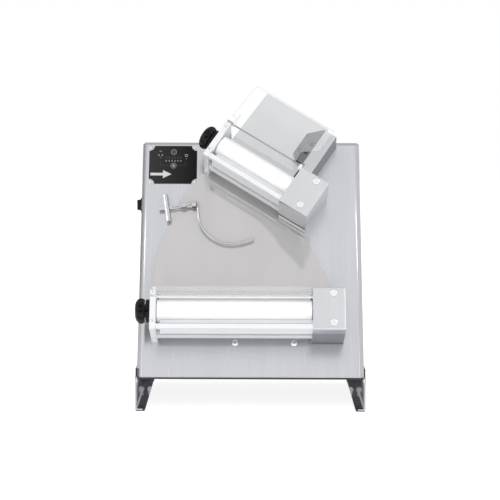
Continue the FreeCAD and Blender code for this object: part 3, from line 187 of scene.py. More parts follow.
def brushed_steel(name, light, dark, rough, streak=0.0022, run=0.35, turn=0.0, smear=0.0, metal=1.0):
    """Stainless sheet, ground along its length: fine one-way lines that vary a little in tone and gloss.
    The real lines are about 0.1 mm apart, too fine to show, so they are drawn as wide as streak. The
    cut fibres of the grind also scatter light, which metal below 1 stands for."""
    material = bpy.data.materials.new(name)
    material.use_nodes = True
    tree = material.node_tree
    shader = tree.nodes["Principled BSDF"]
    shader.inputs["Metallic"].default_value = metal
    shader.inputs["Anisotropic"].default_value = smear
    grain = add(tree, "ShaderNodeCombineXYZ", {"Y": math.sin(lean), "Z": math.cos(lean)})
    tree.links.new(grain.outputs[0], shader.inputs["Tangent"])
    place = add(tree, "ShaderNodeTexCoord", {})
    flat = add(tree, "ShaderNodeMapping", {
        "Vector": place.outputs["Object"], "Rotation": (lean - math.pi / 2, 0, 0)})
    turned = add(tree, "ShaderNodeMapping", {"Vector": flat.outputs[0], "Rotation": (0, 0, turn)})
    lines_place = add(tree, "ShaderNodeMapping", {
        "Vector": turned.outputs[0], "Scale": (1 / streak, 1 / run, 1 / streak)})
    lines = add(tree, "ShaderNodeTexNoise", {
        "Vector": lines_place.outputs[0], "Scale": 1.0, "Detail": 5.0, "Roughness": 0.65})
    cloud_place = add(tree, "ShaderNodeMapping", {
        "Vector": turned.outputs[0], "Scale": (14.0, 2.2, 14.0)})
    cloud = add(tree, "ShaderNodeTexNoise", {
        "Vector": cloud_place.outputs[0], "Scale": 1.0, "Detail": 2.0})
    blend = add(tree, "ShaderNodeMix", {
        0: 0.5, 2: lines.outputs["Fac"], 3: cloud.outputs["Fac"]}, data_type="FLOAT")
    spread = add(tree, "ShaderNodeMapRange", {
        "Value": blend.outputs[0], "From Min": 0.3, "From Max": 0.7, "To Min": 0.0, "To Max": 1.0})
    tone = add(tree, "ShaderNodeMix", {
        0: spread.outputs[0], 6: colour(dark), 7: colour(light)}, data_type="RGBA")
    gloss = add(tree, "ShaderNodeMapRange", {
        "Value": lines.outputs["Fac"], "From Min": 0.3, "From Max": 0.7,
        "To Min": rough[0], "To Max": rough[1]})
    bump = add(tree, "ShaderNodeBump", {
        "Strength": 0.05, "Distance": 0.0002, "Height": lines.outputs["Fac"]})
    tree.links.new(tone.outputs[2], shader.inputs["Base Color"])
    tree.links.new(gloss.outputs[0], shader.inputs["Roughness"])
    tree.links.new(bump.outputs[0], shader.inputs["Normal"])
    return material


def finished(node, material, rounding, steps=2, chosen=None):
    """Copy of a CAD node with its facets merged and its edges rounded, which takes the node's place."""
    source = frame["nodes"][node]
    form = bmesh.new()
    form.from_mesh(source.data)
    bmesh.ops.remove_doubles(form, verts=form.verts, dist=merge_distance)
    bmesh.ops.dissolve_limit(form, angle_limit=flat_angle, verts=form.verts, edges=form.edges)
    weights = form.edges.layers.float.new("bevel_weight_edge")
    for edge in form.edges:
        sharp = len(edge.link_faces) == 2 and edge.calc_face_angle(0) > crease_angle
        edge[weights] = 1.0 if sharp and (chosen is None or chosen(edge)) else 0.0
    for face in form.faces:
        face.smooth = True
    mesh = bpy.data.meshes.new(node + "_finished")
    form.to_mesh(mesh)
    form.free()
    mesh.set_sharp_from_angle(angle=crease_angle)
    rough = bpy.data.objects.new(node + "_rough", mesh)
    scene.collection.objects.link(rough)
    if rounding:
        bevel = rough.modifiers.new("edges", "BEVEL")
        bevel.width = rounding
        bevel.segments = steps
        bevel.limit_method = "WEIGHT"
        evaluated = rough.evaluated_get(bpy.context.evaluated_depsgraph_get())
        rough.data = bpy.data.meshes.new_from_object(evaluated)
        rough.modifiers.clear()
        rough.data.set_sharp_from_angle(angle=rounded_crease_angle)
    shading = rough.modifiers.new("shading", "WEIGHTED_NORMAL")
    shading.keep_sharp = True
    evaluated = rough.evaluated_get(bpy.context.evaluated_depsgraph_get())
    result = bpy.data.meshes.new_from_object(evaluated)
    bpy.data.objects.remove(rough)
    result.name = node + "_finished"
    result.materials.clear()
    result.materials.append(material)
    piece = bpy.data.objects.new(node + "_finished", result)
    scene.collection.objects.link(piece)
    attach(piece, source["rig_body"])
    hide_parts(node)
    return piece


def outer_bend(edge):
    """Long outward bends of the panel, and not the rims of the openings behind it."""
    ends = [panel.inverted() @ vert.co for vert in edge.verts]
    return edge.is_convex and edge.calc_length() > long_edge and all(p.z > -bend_depth for p in ends)


body_steel = brushed_steel("brushed_304_sheet", "d2d3d7", "c6c7cc", rough=(0.2, 0.28), metal=0.75)
# The base sheet's dark tone is painted shade, standing for the unlit underside of the body.
shade_dark_base_steel = brushed_steel(
    "phosphated_base_sheet", "38383b", "2a2a2d", rough=(0.4, 0.5), streak=0.003, run=0.02, metal=0.3)
finished("body_shell", body_steel, rounding=bend_radius, steps=4, chosen=outer_bend)
finished("back_cover", body_steel, rounding=0.0003, steps=1)
finished("base_plate", shade_dark_base_steel, rounding=0.0003, steps=1)


# Skids: two folded plates, polished to a mirror, so they pick up the dark underside of the body and
# the white bench. Their sheared front edges are dull between the foot flange and the body, and painted
# dark above and below, a painted shade. The rear tabs' front faces are painted a dull grey, a painted
# shade for the shadow under the body. Rubber strips under them keep the machine from sliding.
flange_top = 0.009
lap_foot = 0.0725
end_zone = 0.12


def shaded(code, share):
    """The darker side of a colour, as a share of its light."""
    return [share * c for c in colour(code)[:3]] + [1.0]


def polished_steel(name, tint, rough):
    """Polished metal: nearly clean reflections, with faint wipe marks in the gloss."""
    material = bpy.data.materials.new(name)
    material.use_nodes = True
    tree = material.node_tree
    shader = tree.nodes["Principled BSDF"]
    shader.inputs["Metallic"].default_value = 1.0
    place = add(tree, "ShaderNodeTexCoord", {})
    wipe = add(tree, "ShaderNodeTexNoise", {
        "Vector": place.outputs["Object"], "Scale": 22.0, "Detail": 3.0, "Distortion": 0.8})
    gloss = add(tree, "ShaderNodeMapRange", {
        "Value": wipe.outputs["Fac"], "From Min": 0.3, "From Max": 0.7,
        "To Min": 0.6 * rough, "To Max": 1.5 * rough})
    tone = add(tree, "ShaderNodeMix", {
        0: wipe.outputs["Fac"], 6: colour(tint), 7: shaded(tint, 0.9)}, data_type="RGBA")
    tree.links.new(gloss.outputs[0], shader.inputs["Roughness"])
    tree.links.new(tone.outputs[2], shader.inputs["Base Color"])
    return material


def soft_rubber(name, code):
    """Moulded black rubber: matt, with a very fine pebbled skin."""
    material = bpy.data.materials.new(name)
    material.use_nodes = True
    tree = material.node_tree
    shader = tree.nodes["Principled BSDF"]
    shader.inputs["Roughness"].default_value = 0.75
    place = add(tree, "ShaderNodeTexCoord", {})
    pebble = add(tree, "ShaderNodeTexVoronoi", {"Vector": place.outputs["Object"], "Scale": 900.0})
    tone = add(tree, "ShaderNodeMix", {
        0: pebble.outputs["Distance"], 6: colour(code), 7: colour("1d1d1e")}, data_type="RGBA")
    bump = add(tree, "ShaderNodeBump", {
        "Strength": 0.3, "Distance": 0.0002, "Height": pebble.outputs["Distance"]})
    tree.links.new(tone.outputs[2], shader.inputs["Base Color"])
    tree.links.new(bump.outputs[0], shader.inputs["Normal"])
    return material


def repaint(piece, material, chosen):
    """Gives another material to the faces that a test of centre and normal picks."""
    piece.data.materials.append(material)
    for face in piece.data.polygons:
        if chosen(face.center, face.normal):
            face.material_index = len(piece.data.materials) - 1


def front_edge(centre, normal):
    """The cut edges of a skid that face the front."""
    return normal.y < -0.5 and centre.y < -end_zone


skid_steel = polished_steel("mirror_polished_sheet", "c2c2c6", rough=0.06)
sheared_steel = brushed_steel(
    "sheared_edge", "c4c4c9", "b2b2b8", rough=(0.5, 0.6), streak=0.003, run=0.003, metal=0.4)
shade_painted_tab_steel = brushed_steel(
    "dull_tab_sheet", "a09ea8", "8e8c96", rough=(0.4, 0.5), streak=0.003, run=0.02, metal=0.5)
for node in ("skid_left", "skid_right"):
    skid = finished(node, skid_steel, rounding=0.0004)
    repaint(skid, sheared_steel, lambda centre, normal: (
        front_edge(centre, normal) and flange_top < centre.z < lap_foot))
    # Front edges above and below the body's foot: painted shade in the dark base sheet.
    repaint(skid, shade_dark_base_steel, lambda centre, normal: (
        front_edge(centre, normal) and not flange_top < centre.z < lap_foot))
    # Rear tabs' front faces: a dull grey painted shade for the shadow under the body.
    repaint(skid, shade_painted_tab_steel, lambda centre, normal: normal.y < -0.9 and centre.y > end_zone)
finished("foot_pads", soft_rubber("moulded_black_rubber", "0c0c0d"), rounding=0.0005)


# Control plate: a thin black plate with its corners cut out round its screws, and light printed
# marks for its keys. The marks are thin raised ink, plain shapes only. The film's gloss is painted to
# fade from left to right, a painted sheen for the brighter room on its left, so its left side looks greyer.
plate_centre = (-174.5, 491.5)
plate_width = 107.0
plate_face = 2.0
ink_face = 2.12
start_key = (1.5, 30.2)
stop_key = (1.0, -2.8)
level_pitch = 6.42
level_count = 6


def smooth_plastic(name, code, rough, grain=0.05):
    """Moulded plastic: even colour, with a faint unevenness in the gloss left by the mould."""
    material = bpy.data.materials.new(name)
    material.use_nodes = True
    tree = material.node_tree
    shader = tree.nodes["Principled BSDF"]
    place = add(tree, "ShaderNodeTexCoord", {})
    skin = add(tree, "ShaderNodeTexNoise", {
        "Vector": place.outputs["Object"], "Scale": 160.0, "Detail": 3.0})
    tone = add(tree, "ShaderNodeMix", {
        0: skin.outputs["Fac"], 6: colour(code), 7: shaded(code, 0.94)}, data_type="RGBA")
    gloss = add(tree, "ShaderNodeMapRange", {
        "Value": skin.outputs["Fac"], "From Min": 0.3, "From Max": 0.7,
        "To Min": rough - 0.04, "To Max": rough + 0.06})
    bump = add(tree, "ShaderNodeBump", {
        "Strength": grain, "Distance": 0.0002, "Height": skin.outputs["Fac"]})
    tree.links.new(tone.outputs[2], shader.inputs["Base Color"])
    tree.links.new(gloss.outputs[0], shader.inputs["Roughness"])
    tree.links.new(bump.outputs[0], shader.inputs["Normal"])
    return material


def mark_tree():
    """Repeats a mark at an even pitch along the plate."""
    tree = bpy.data.node_groups.new("row_of_marks", "GeometryNodeTree")
    tree.interface.new_socket("Mesh", in_out="INPUT", socket_type="NodeSocketGeometry")
    pitch = tree.interface.new_socket("Pitch", in_out="INPUT", socket_type="NodeSocketFloat")
    count = tree.interface.new_socket("Count", in_out="INPUT", socket_type="NodeSocketInt")
    ink = tree.interface.new_socket("Ink", in_out="INPUT", socket_type="NodeSocketMaterial")
    tree.interface.new_socket("Row", in_out="OUTPUT", socket_type="NodeSocketGeometry")
    entry = add(tree, "NodeGroupInput", {})
    step = add(tree, "ShaderNodeCombineXYZ", {"X": entry.outputs["Pitch"]})
    line = add(tree, "GeometryNodeMeshLine", {"Count": entry.outputs["Count"], "Offset": step.outputs[0]})
    row = add(tree, "GeometryNodeInstanceOnPoints", {
        "Points": line.outputs[0], "Instance": entry.outputs["Mesh"]})
    real = add(tree, "GeometryNodeRealizeInstances", {"Geometry": row.outputs[0]})
    coated = add(tree, "GeometryNodeSetMaterial", {
        "Geometry": real.outputs[0], "Material": entry.outputs["Ink"]})
    leave = add(tree, "NodeGroupOutput", {})
    tree.links.new(coated.outputs[0], leave.inputs[0])
    return tree, pitch.identifier, count.identifier, ink.identifier


def marks(name, shapes, ink, pitch=0.0, count=1):
    """Raised print on the control plate. A shape is an outer outline and, for an open one, the inner
    outline with as many points, in millimetres from the plate's centre."""
    form = bmesh.new()
    for outer, inner in shapes:
        levels = []
        for height in (plate_face, ink_face):
            for outline in (outer, inner):
                verts = []
                for x, y in outline or []:
                    spot = Vector((plate_centre[0] + x, plate_centre[1] + y, height)) / 1000
                    verts.append(form.verts.new(panel @ spot))
                levels.append(verts)
        low, low_in, high, high_in = levels
        pairs = [(low, high)]
        if inner:
            pairs += [(high, high_in), (high_in, low_in), (low_in, low)]
        else:
            form.faces.new(high)
            form.faces.new(list(reversed(low)))
        for first, second in pairs:
            for index in range(len(first)):
                following = (index + 1) % len(first)
                form.faces.new((first[index], first[following], second[following], second[index]))
    bmesh.ops.recalc_face_normals(form, faces=form.faces)
    mesh = bpy.data.meshes.new(name)
    form.to_mesh(mesh)
    form.free()
    rough = bpy.data.objects.new(name + "_rough", mesh)
    scene.collection.objects.link(rough)
    grow = rough.modifiers.new("row", "NODES")
    grow.node_group = mark_rule
    for socket, value in zip(mark_sockets, (pitch / 1000, count, ink)):
        grow[socket] = value
    evaluated = rough.evaluated_get(bpy.context.evaluated_depsgraph_get())
    result = bpy.data.meshes.new_from_object(evaluated)
    bpy.data.objects.remove(rough)
    result.name = name
    result.materials.clear()
    result.materials.append(ink)
    piece = bpy.data.objects.new(name, result)
    scene.collection.objects.link(piece)
    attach(piece, "frame")


def circle(x, y, radius, count=32):
    """Outline of a round mark; with few points, of a polygon."""
    steps = [2 * math.pi * step / count for step in range(count)]
    return [(x + radius * math.cos(a), y + radius * math.sin(a)) for a in steps]


def bar(x0, x1, y0, y1):
    """Outline of a rectangular mark."""
    return [(x0, y0), (x1, y0), (x1, y1), (x0, y1)]


def coat(node, material):
    """Gives its finish to a CAD node that stays as it is."""
    shown = frame["nodes"][node].data
    shown.materials.clear()
    shown.materials.append(material)


plate_film = smooth_plastic("printed_polyester_film", "121214", rough=0.38)
film_tree = plate_film.node_tree
film_place = add(film_tree, "ShaderNodeTexCoord", {})
film_split = add(film_tree, "ShaderNodeSeparateXYZ", {0: film_place.outputs["Object"]})
# Painted sheen: the film's gloss is set by position, stronger on the left where the room is brighter.
painted_sheen_fade = add(film_tree, "ShaderNodeMapRange", {
    "Value": film_split.outputs["X"],
    "From Min": (plate_centre[0] - plate_width / 2) / 1000,
    "From Max": (plate_centre[0] + plate_width / 2) / 1000, "To Min": 0.5, "To Max": 0.1})
film_tree.links.new(
    painted_sheen_fade.outputs[0], film_tree.nodes["Principled BSDF"].inputs["Specular IOR Level"])
finished("control_plate", plate_film, rounding=0.0004)

mark_rule, *mark_sockets = mark_tree()
grey_ink = smooth_plastic("grey_screen_ink", "8d8e90", rough=0.5)
pale_ink = smooth_plastic("pale_screen_ink", "c8c8ca", rough=0.5)
dim_ink = smooth_plastic("dim_screen_ink", "3c3d40", rough=0.5)
marks("plate_keys", [
    (circle(*start_key, 6.4), circle(*start_key, 5.0)), (circle(*start_key, 1.3), None),
    (circle(*stop_key, 6.6), circle(*stop_key, 5.6)), (circle(*stop_key, 4.2, 4), None),
    (bar(-31.0, -25.0, 31.6, 33.0), None),
    (circle(-32.0, 22.6, 1.7), None), (circle(-24.4, 22.6, 1.7), None),
    (bar(-29.2, -27.2, 16.4, 18.0), None), (bar(28.4, 30.4, 13.2, 14.8), None),
    (bar(26.2, 32.6, 18.8, 25.0), bar(27.6, 31.2, 20.2, 23.6)),
], grey_ink)
marks("plate_levels", [(bar(-15.8, -14.4, 12.9, 20.0), None)], dim_ink, level_pitch, level_count)
marks("plate_lamps", [(circle(-15.1, 8.6, 1.5, 16), None)], grey_ink, level_pitch, level_count)
marks("plate_frame_line", [
    (bar(-29.0, -28.4, -1.6, 8.0), None), (bar(-28.4, -7.0, -1.6, -1.0), None),
    (bar(9.0, 28.4, -1.6, -1.0), None), (bar(28.4, 29.0, -1.6, 8.0), None),
], dim_ink)
marks("plate_arrow", [([
    (-50, -26.6), (-22, -26.6), (-22, -33.0), (-3, -23.4), (-22, -13.8), (-22, -20.2), (-50, -20.2),
], None)], pale_ink)
coat("control_board", smooth_plastic("green_solder_lacquer", "1d5a33", rough=0.4))


# Slide sheet: thin stainless, finer ground than the body and a touch warmer, curved out towards the
# lower rollers.
slide_steel = brushed_steel(
    "fine_ground_sheet", "cbc9c8", "c1bfbf", rough=(0.045, 0.065), streak=0.0012, run=0.3,
    smear=0.4, metal=0.5)
finished("slide_sheet", slide_steel, rounding=0.0004)


# Roller units: both have the same milled end plate, folded gear cover, white rollers, bars and knob.
# They differ in length and in how they lie on the panel, and the upper one also carries the bolts of
# the chute's bracket. Screws and knobs are placed in millimetres in the unit's own frame.
lower_length = 329.2
upper_length = 184.0
lower_place = panel @ Matrix.Translation((0.1304, 0.077, 0))
upper_place = panel @ Matrix.Translation((0.0605, 0.3663, 0)) @ Matrix.Rotation(math.radians(-33), 4, "Z")
roller_up = 48
roller_rise = 75
unit_rise = 106.0
end_plate = 12.7
cover_bolt = 43.6
bolt_low = 15.7
bolt_high = 79.7
foot_screw_rise = 18.0
knob_gap = 22.5
heavy_thread = 8
large_thread = 6
medium_thread = 5
small_thread = 3
outwards = (0, 0, 1)


def satin_aluminium(name, code):
    """Milled aluminium, tumbled: pale, soft gloss with a fine random tooth."""
    material = bpy.data.materials.new(name)
    material.use_nodes = True
    tree = material.node_tree
    shader = tree.nodes["Principled BSDF"]
    shader.inputs["Metallic"].default_value = 0.5
    place = add(tree, "ShaderNodeTexCoord", {})
    tooth = add(tree, "ShaderNodeTexNoise", {
        "Vector": place.outputs["Object"], "Scale": 420.0, "Detail": 4.0})
    tone = add(tree, "ShaderNodeMix", {
        0: tooth.outputs["Fac"], 6: colour(code), 7: shaded(code, 0.9)}, data_type="RGBA")
    gloss = add(tree, "ShaderNodeMapRange", {
        "Value": tooth.outputs["Fac"], "From Min": 0.3, "From Max": 0.7, "To Min": 0.34, "To Max": 0.48})
    bump = add(tree, "ShaderNodeBump", {
        "Strength": 0.08, "Distance": 0.0001, "Height": tooth.outputs["Fac"]})
    tree.links.new(tone.outputs[2], shader.inputs["Base Color"])
    tree.links.new(gloss.outputs[0], shader.inputs["Roughness"])
    tree.links.new(bump.outputs[0], shader.inputs["Normal"])
    return material


def screw_head():
    """Button head with a hexagon socket, and its shank, for a thread one unit thick, facing +Z."""
    form = bmesh.new()
    count = 24

    def ring(radius, height, hexagon=False):
        verts = []
        for step in range(count):
            angle = 2 * math.pi * step / count
            reach = radius
            if hexagon:
                reach = radius / math.cos((angle + math.pi / 6) % (math.pi / 3) - math.pi / 6)
            verts.append(form.verts.new((reach * math.cos(angle), reach * math.sin(angle), height)))
        return verts

    rings = [
        ring(0.29, 0.08, True), ring(0.29, 0.47, True), ring(0.33, 0.52, True), ring(0.48, 0.515),
        ring(0.64, 0.47), ring(0.78, 0.38), ring(0.88, 0.25), ring(0.94, 0.10), ring(0.95, 0.0),
        ring(0.5, 0.0), ring(0.5, -1.0),
    ]
    for inner, outer in zip(rings, rings[1:]):
        for step in range(count):
            following = (step + 1) % count
            form.faces.new((inner[step], outer[step], outer[following], inner[following]))
    form.faces.new(rings[0])
    form.faces.new(list(reversed(rings[-1])))
    for face in form.faces:
        face.smooth = True
    mesh = bpy.data.meshes.new("screw_head")
    form.to_mesh(mesh)
    form.free()
    mesh.set_sharp_from_angle(angle=math.radians(35))
    return bpy.data.objects.new("screw_head", mesh)


def screw_tree():
    """Sets a head on every point, turned to face along the point's direction, each at its own angle."""
    tree = bpy.data.node_groups.new("set_screws", "GeometryNodeTree")
    tree.interface.new_socket("Points", in_out="INPUT", socket_type="NodeSocketGeometry")
    head = tree.interface.new_socket("Head", in_out="INPUT", socket_type="NodeSocketObject")
    metal = tree.interface.new_socket("Metal", in_out="INPUT", socket_type="NodeSocketMaterial")
    tree.interface.new_socket("Screws", in_out="OUTPUT", socket_type="NodeSocketGeometry")
    entry = add(tree, "NodeGroupInput", {})
    shown = add(tree, "GeometryNodeObjectInfo", {"Object": entry.outputs["Head"]})
    facing = add(tree, "GeometryNodeInputNamedAttribute", {"Name": "facing"}, data_type="FLOAT_VECTOR")
    size = add(tree, "GeometryNodeInputNamedAttribute", {"Name": "size"}, data_type="FLOAT")
    turn = add(tree, "FunctionNodeRandomValue", {2: 0.0, 3: math.pi / 3, "Seed": 4}, data_type="FLOAT")
    twist = add(tree, "FunctionNodeAxisAngleToRotation", {"Axis": (0.0, 0.0, 1.0), "Angle": turn.outputs[1]})
    stand = add(tree, "FunctionNodeAlignRotationToVector", {"Vector": facing.outputs[0]}, axis="Z")
    spin = add(tree, "FunctionNodeRotateRotation", {
        "Rotation": stand.outputs[0], "Rotate By": twist.outputs[0]}, rotation_space="LOCAL")
    placed = add(tree, "GeometryNodeInstanceOnPoints", {
        "Points": entry.outputs["Points"], "Instance": shown.outputs["Geometry"],
        "Rotation": spin.outputs[0], "Scale": size.outputs[0]})
    real = add(tree, "GeometryNodeRealizeInstances", {"Geometry": placed.outputs[0]})
    coated = add(tree, "GeometryNodeSetMaterial", {
        "Geometry": real.outputs[0], "Material": entry.outputs["Metal"]})
    leave = add(tree, "NodeGroupOutput", {})
    tree.links.new(coated.outputs[0], leave.inputs[0])
    return tree, head.identifier, metal.identifier


def screw_solids(form, longest=0.03):
    """Vertices of a node's solids that are no longer than its screws, in metres."""
    found = []
    seen = set()
    for vert in form.verts:
        if vert in seen:
            continue
        island, front = {vert}, [vert]
        while front:
            for edge in front.pop().link_edges:
                for other in edge.verts:
                    if other not in island:
                        island.add(other)
                        front.append(other)
        seen |= island
        if max((other.co - vert.co).length for other in island) < longest:
            found += island
    return found


def screws(node, spots, material, keep=False):
    """Screws in the place of a node's; a spot is its frame, the head's underside and direction in
    millimetres, and the size of the thread. Solids of the node that aren't screws can be kept."""
    mesh = bpy.data.meshes.new(node + "_spots")
    mesh.from_pydata([place @ (Vector(at) / 1000) for place, at, towards, thread in spots], [], [])
    mesh.attributes.new("facing", "FLOAT_VECTOR", "POINT")
    mesh.attributes.new("size", "FLOAT", "POINT")
    for index, (place, at, towards, thread) in enumerate(spots):
        mesh.attributes["facing"].data[index].vector = place.to_3x3() @ Vector(towards)
        mesh.attributes["size"].data[index].value = thread / 1000
    rough = bpy.data.objects.new(node + "_rough", mesh)
    scene.collection.objects.link(rough)
    grow = rough.modifiers.new("screws", "NODES")
    grow.node_group = screw_rule
    grow[screw_rule_head] = screw_form
    grow[screw_rule_metal] = material
    evaluated = rough.evaluated_get(bpy.context.evaluated_depsgraph_get())
    result = bpy.data.meshes.new_from_object(evaluated)
    bpy.data.objects.remove(rough)
    source = frame["nodes"][node]
    if keep:
        form = bmesh.new()
        form.from_mesh(source.data)
        bmesh.ops.remove_doubles(form, verts=form.verts, dist=merge_distance)
        bmesh.ops.delete(form, geom=screw_solids(form), context="VERTS")
        form.from_mesh(result)
        form.to_mesh(result)
        form.free()
    result.name = node + "_finished"
    result.materials.clear()
    result.materials.append(material)
    piece = bpy.data.objects.new(node + "_finished", result)
    scene.collection.objects.link(piece)
    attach(piece, source["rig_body"])
    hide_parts(node)
    return piece


def gap_knob(unit, place, end):
    """Rounded knob with eight grip hollows, turned round the roller's axis; end is its inner face."""
    radius, depth, neck, neck_length, count = 27.0, 21.5, 14.0, 1.5, 192
    grip_away, grip_radius, lobe = 1.18 * radius, 0.27 * radius, math.pi / 4
    rim_width, rim_depth = 2.2, 0.55
    dish_radius, dish_depth, crown_depth, crown_steps = 10.5, 0.25, 12.5, 14
    taper, taper_power, hub, bore = 3.4, 2.2, 2.0, 6.2
    form = bmesh.new()
    rings = []

    def ring(x, reach, lobed):
        verts = []
        for step in range(count):
            angle = 2 * math.pi * step / count
            off = (angle + lobe / 2) % lobe - lobe / 2
            r = reach
            side = grip_away * math.sin(off)
            if lobed and abs(side) < grip_radius:
                hollow = grip_away * math.cos(off) - math.sqrt(grip_radius ** 2 - side ** 2)
                near = max(0.0, 1.0 - abs(r - hollow) / rim_width)
                r = min(r, hollow) - near * near * rim_depth
            spot = Vector((x, roller_up + r * math.cos(angle), roller_rise + r * math.sin(angle)))
            verts.append(form.verts.new(place @ (spot / 1000)))
        rings.append(verts)

    face = end - neck_length - depth
    crown_end = dish_depth + crown_depth
    for share in (0.0, 0.35, 0.7, 1.0):
        ring(face + dish_depth * share ** 2, hub + (dish_radius - hub) * share, False)
    for step in range(1, crown_steps + 1):
        turn = math.pi / 2 * step / crown_steps
        reach = dish_radius + (radius - dish_radius) * math.sin(turn)
        ring(face + dish_depth + crown_depth * (1 - math.cos(turn)), reach, True)
    for share in (0.25, 0.5, 0.75, 0.9, 1.0):
        ring(face + crown_end + (depth - crown_end) * share, radius - taper * share ** taper_power, True)
    for reach, x in ((neck + 4, 0.0), (neck, 0.0), (neck, neck_length), (bore, neck_length)):
        ring(end - neck_length + x, reach, False)
    for first, second in zip(rings, rings[1:]):
        for step in range(count):
            following = (step + 1) % count
            form.faces.new((first[step], first[following], second[following], second[step]))
    form.faces.new(list(reversed(rings[0])))
    form.faces.new(rings[-1])
    bmesh.ops.recalc_face_normals(form, faces=form.faces)
    for item in form.faces:
        item.smooth = True
    mesh = bpy.data.meshes.new(unit + "_gap_knob_finished")
    form.to_mesh(mesh)
    form.free()
    mesh.set_sharp_from_angle(angle=math.radians(40))
    mesh.materials.append(knob_black)
    piece = bpy.data.objects.new(unit + "_gap_knob_finished", mesh)
    scene.collection.objects.link(piece)
    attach(piece, frame["nodes"][unit + "_gap_knob"]["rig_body"])
    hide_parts(unit + "_gap_knob")


def paint_light_band(cover, place, low, high, material):
    """Paints light or shade on a gear cover's foot side: another material between two heights above the
    panel.
    """
    form = bmesh.new()
    form.from_mesh(cover.data)
    for height in (low, high):
        bmesh.ops.bisect_plane(
            form, geom=form.verts[:] + form.edges[:] + form.faces[:], dist=1e-6,
            plane_co=place @ Vector((0, 0, height / 1000)), plane_no=place.to_3x3() @ Vector(outwards))
    form.to_mesh(cover.data)
    form.free()
    foot_side = place.to_3x3() @ Vector((0, -1, 0))
    to_unit = place.inverted()
    repaint(cover, material, lambda centre, normal: (
        normal.dot(foot_side) > 0.5 and low < (to_unit @ centre).z * 1000 < high))


screw_form = screw_head()
screw_rule, screw_rule_head, screw_rule_metal = screw_tree()
plate_metal = satin_aluminium("tumbled_aluminium", "eef0f3")
# A darker copy of the plates' aluminium: painted shade for their ears.
shade_painted_ear_metal = satin_aluminium("shaded_aluminium", "b2b4b9")
roller_white = smooth_plastic("turned_white_acetal", "fbfbfb", rough=0.35)
scraper_white = smooth_plastic("milled_white_polyethylene", "dcdddf", rough=0.5)
knob_black = smooth_plastic("glossy_black_phenolic", "020203", rough=0.09)
knob_black.node_tree.nodes["Principled BSDF"].inputs["Specular IOR Level"].default_value = 0.22
bright_steel = polished_steel("bright_turned_steel", "cfcfd2", rough=0.12)
dark_rod = polished_steel("drawn_hinge_rod", "a6a6aa", rough=0.3)
dark_bolt = polished_steel("blackened_bolt_steel", "5c5c62", rough=0.22)
zinc = polished_steel("bright_zinc_plate", "fbfcfd", rough=0.24)
motor_enamel = smooth_plastic("grey_motor_enamel", "34373c", rough=0.45, grain=0.2)
oiled_steel = polished_steel("oiled_cut_steel", "6c6c70", rough=0.3)
bronze = polished_steel("sintered_bronze", "a8783f", rough=0.35)
inside = {
    "front_shaft": bright_steel, "rear_shaft": bright_steel, "front_gear": oiled_steel,
    "rear_gear": oiled_steel, "drive_gear": oiled_steel, "gear_motor": motor_enamel,
    "rear_bushes": bronze, "slide_blocks": bronze, "gap_eccentric": bright_steel,
}

# The gear covers are lids over a tray, with a folded lip between them. Their foot sides carry painted
# light: the tray's darker tone is painted shade, the lip's lighter tone a painted highlight, and a black
# line at the foot of each cover a painted shadow. The upper one stands on a pale foot, a painted reflection.
cover_steel = brushed_steel("brushed_cover_sheet", "d9dadd", "cdced1", rough=(0.2, 0.28), metal=0.75)
shade_painted_tray_steel = brushed_steel("brushed_tray_sheet", "98989e", "8c8c92", rough=(0.24, 0.32), metal=0.75)
highlight_painted_lip_steel = brushed_steel("brushed_lip_sheet", "bebec3", "b2b2b7", rough=(0.24, 0.32), metal=0.75)
shadow_painted_foot_black = smooth_plastic("black_foot_seal", "1a1a1c", rough=0.5)
painted_light_bands = {
    "lower": ((5.5, 74, shade_painted_tray_steel), (74, 95, highlight_painted_lip_steel), (0, 5.5, shadow_painted_foot_black)),
    "upper": ((0, 19, plate_metal), (19, 26, shadow_painted_foot_black)),
}

# The bracket's flange slopes from its fold down to the chute, and its bolts stand square to it.
fold_across = -13
fold_rise = 55
flange_width = 34
chute_rise = 47.5
chute_run = 56
chute_fall = math.tan(math.radians(8))
sheet_and_seat = 2.05
flange_foot = chute_rise - chute_fall * chute_run + sheet_and_seat
flange_slope = (fold_rise - flange_foot) / flange_width

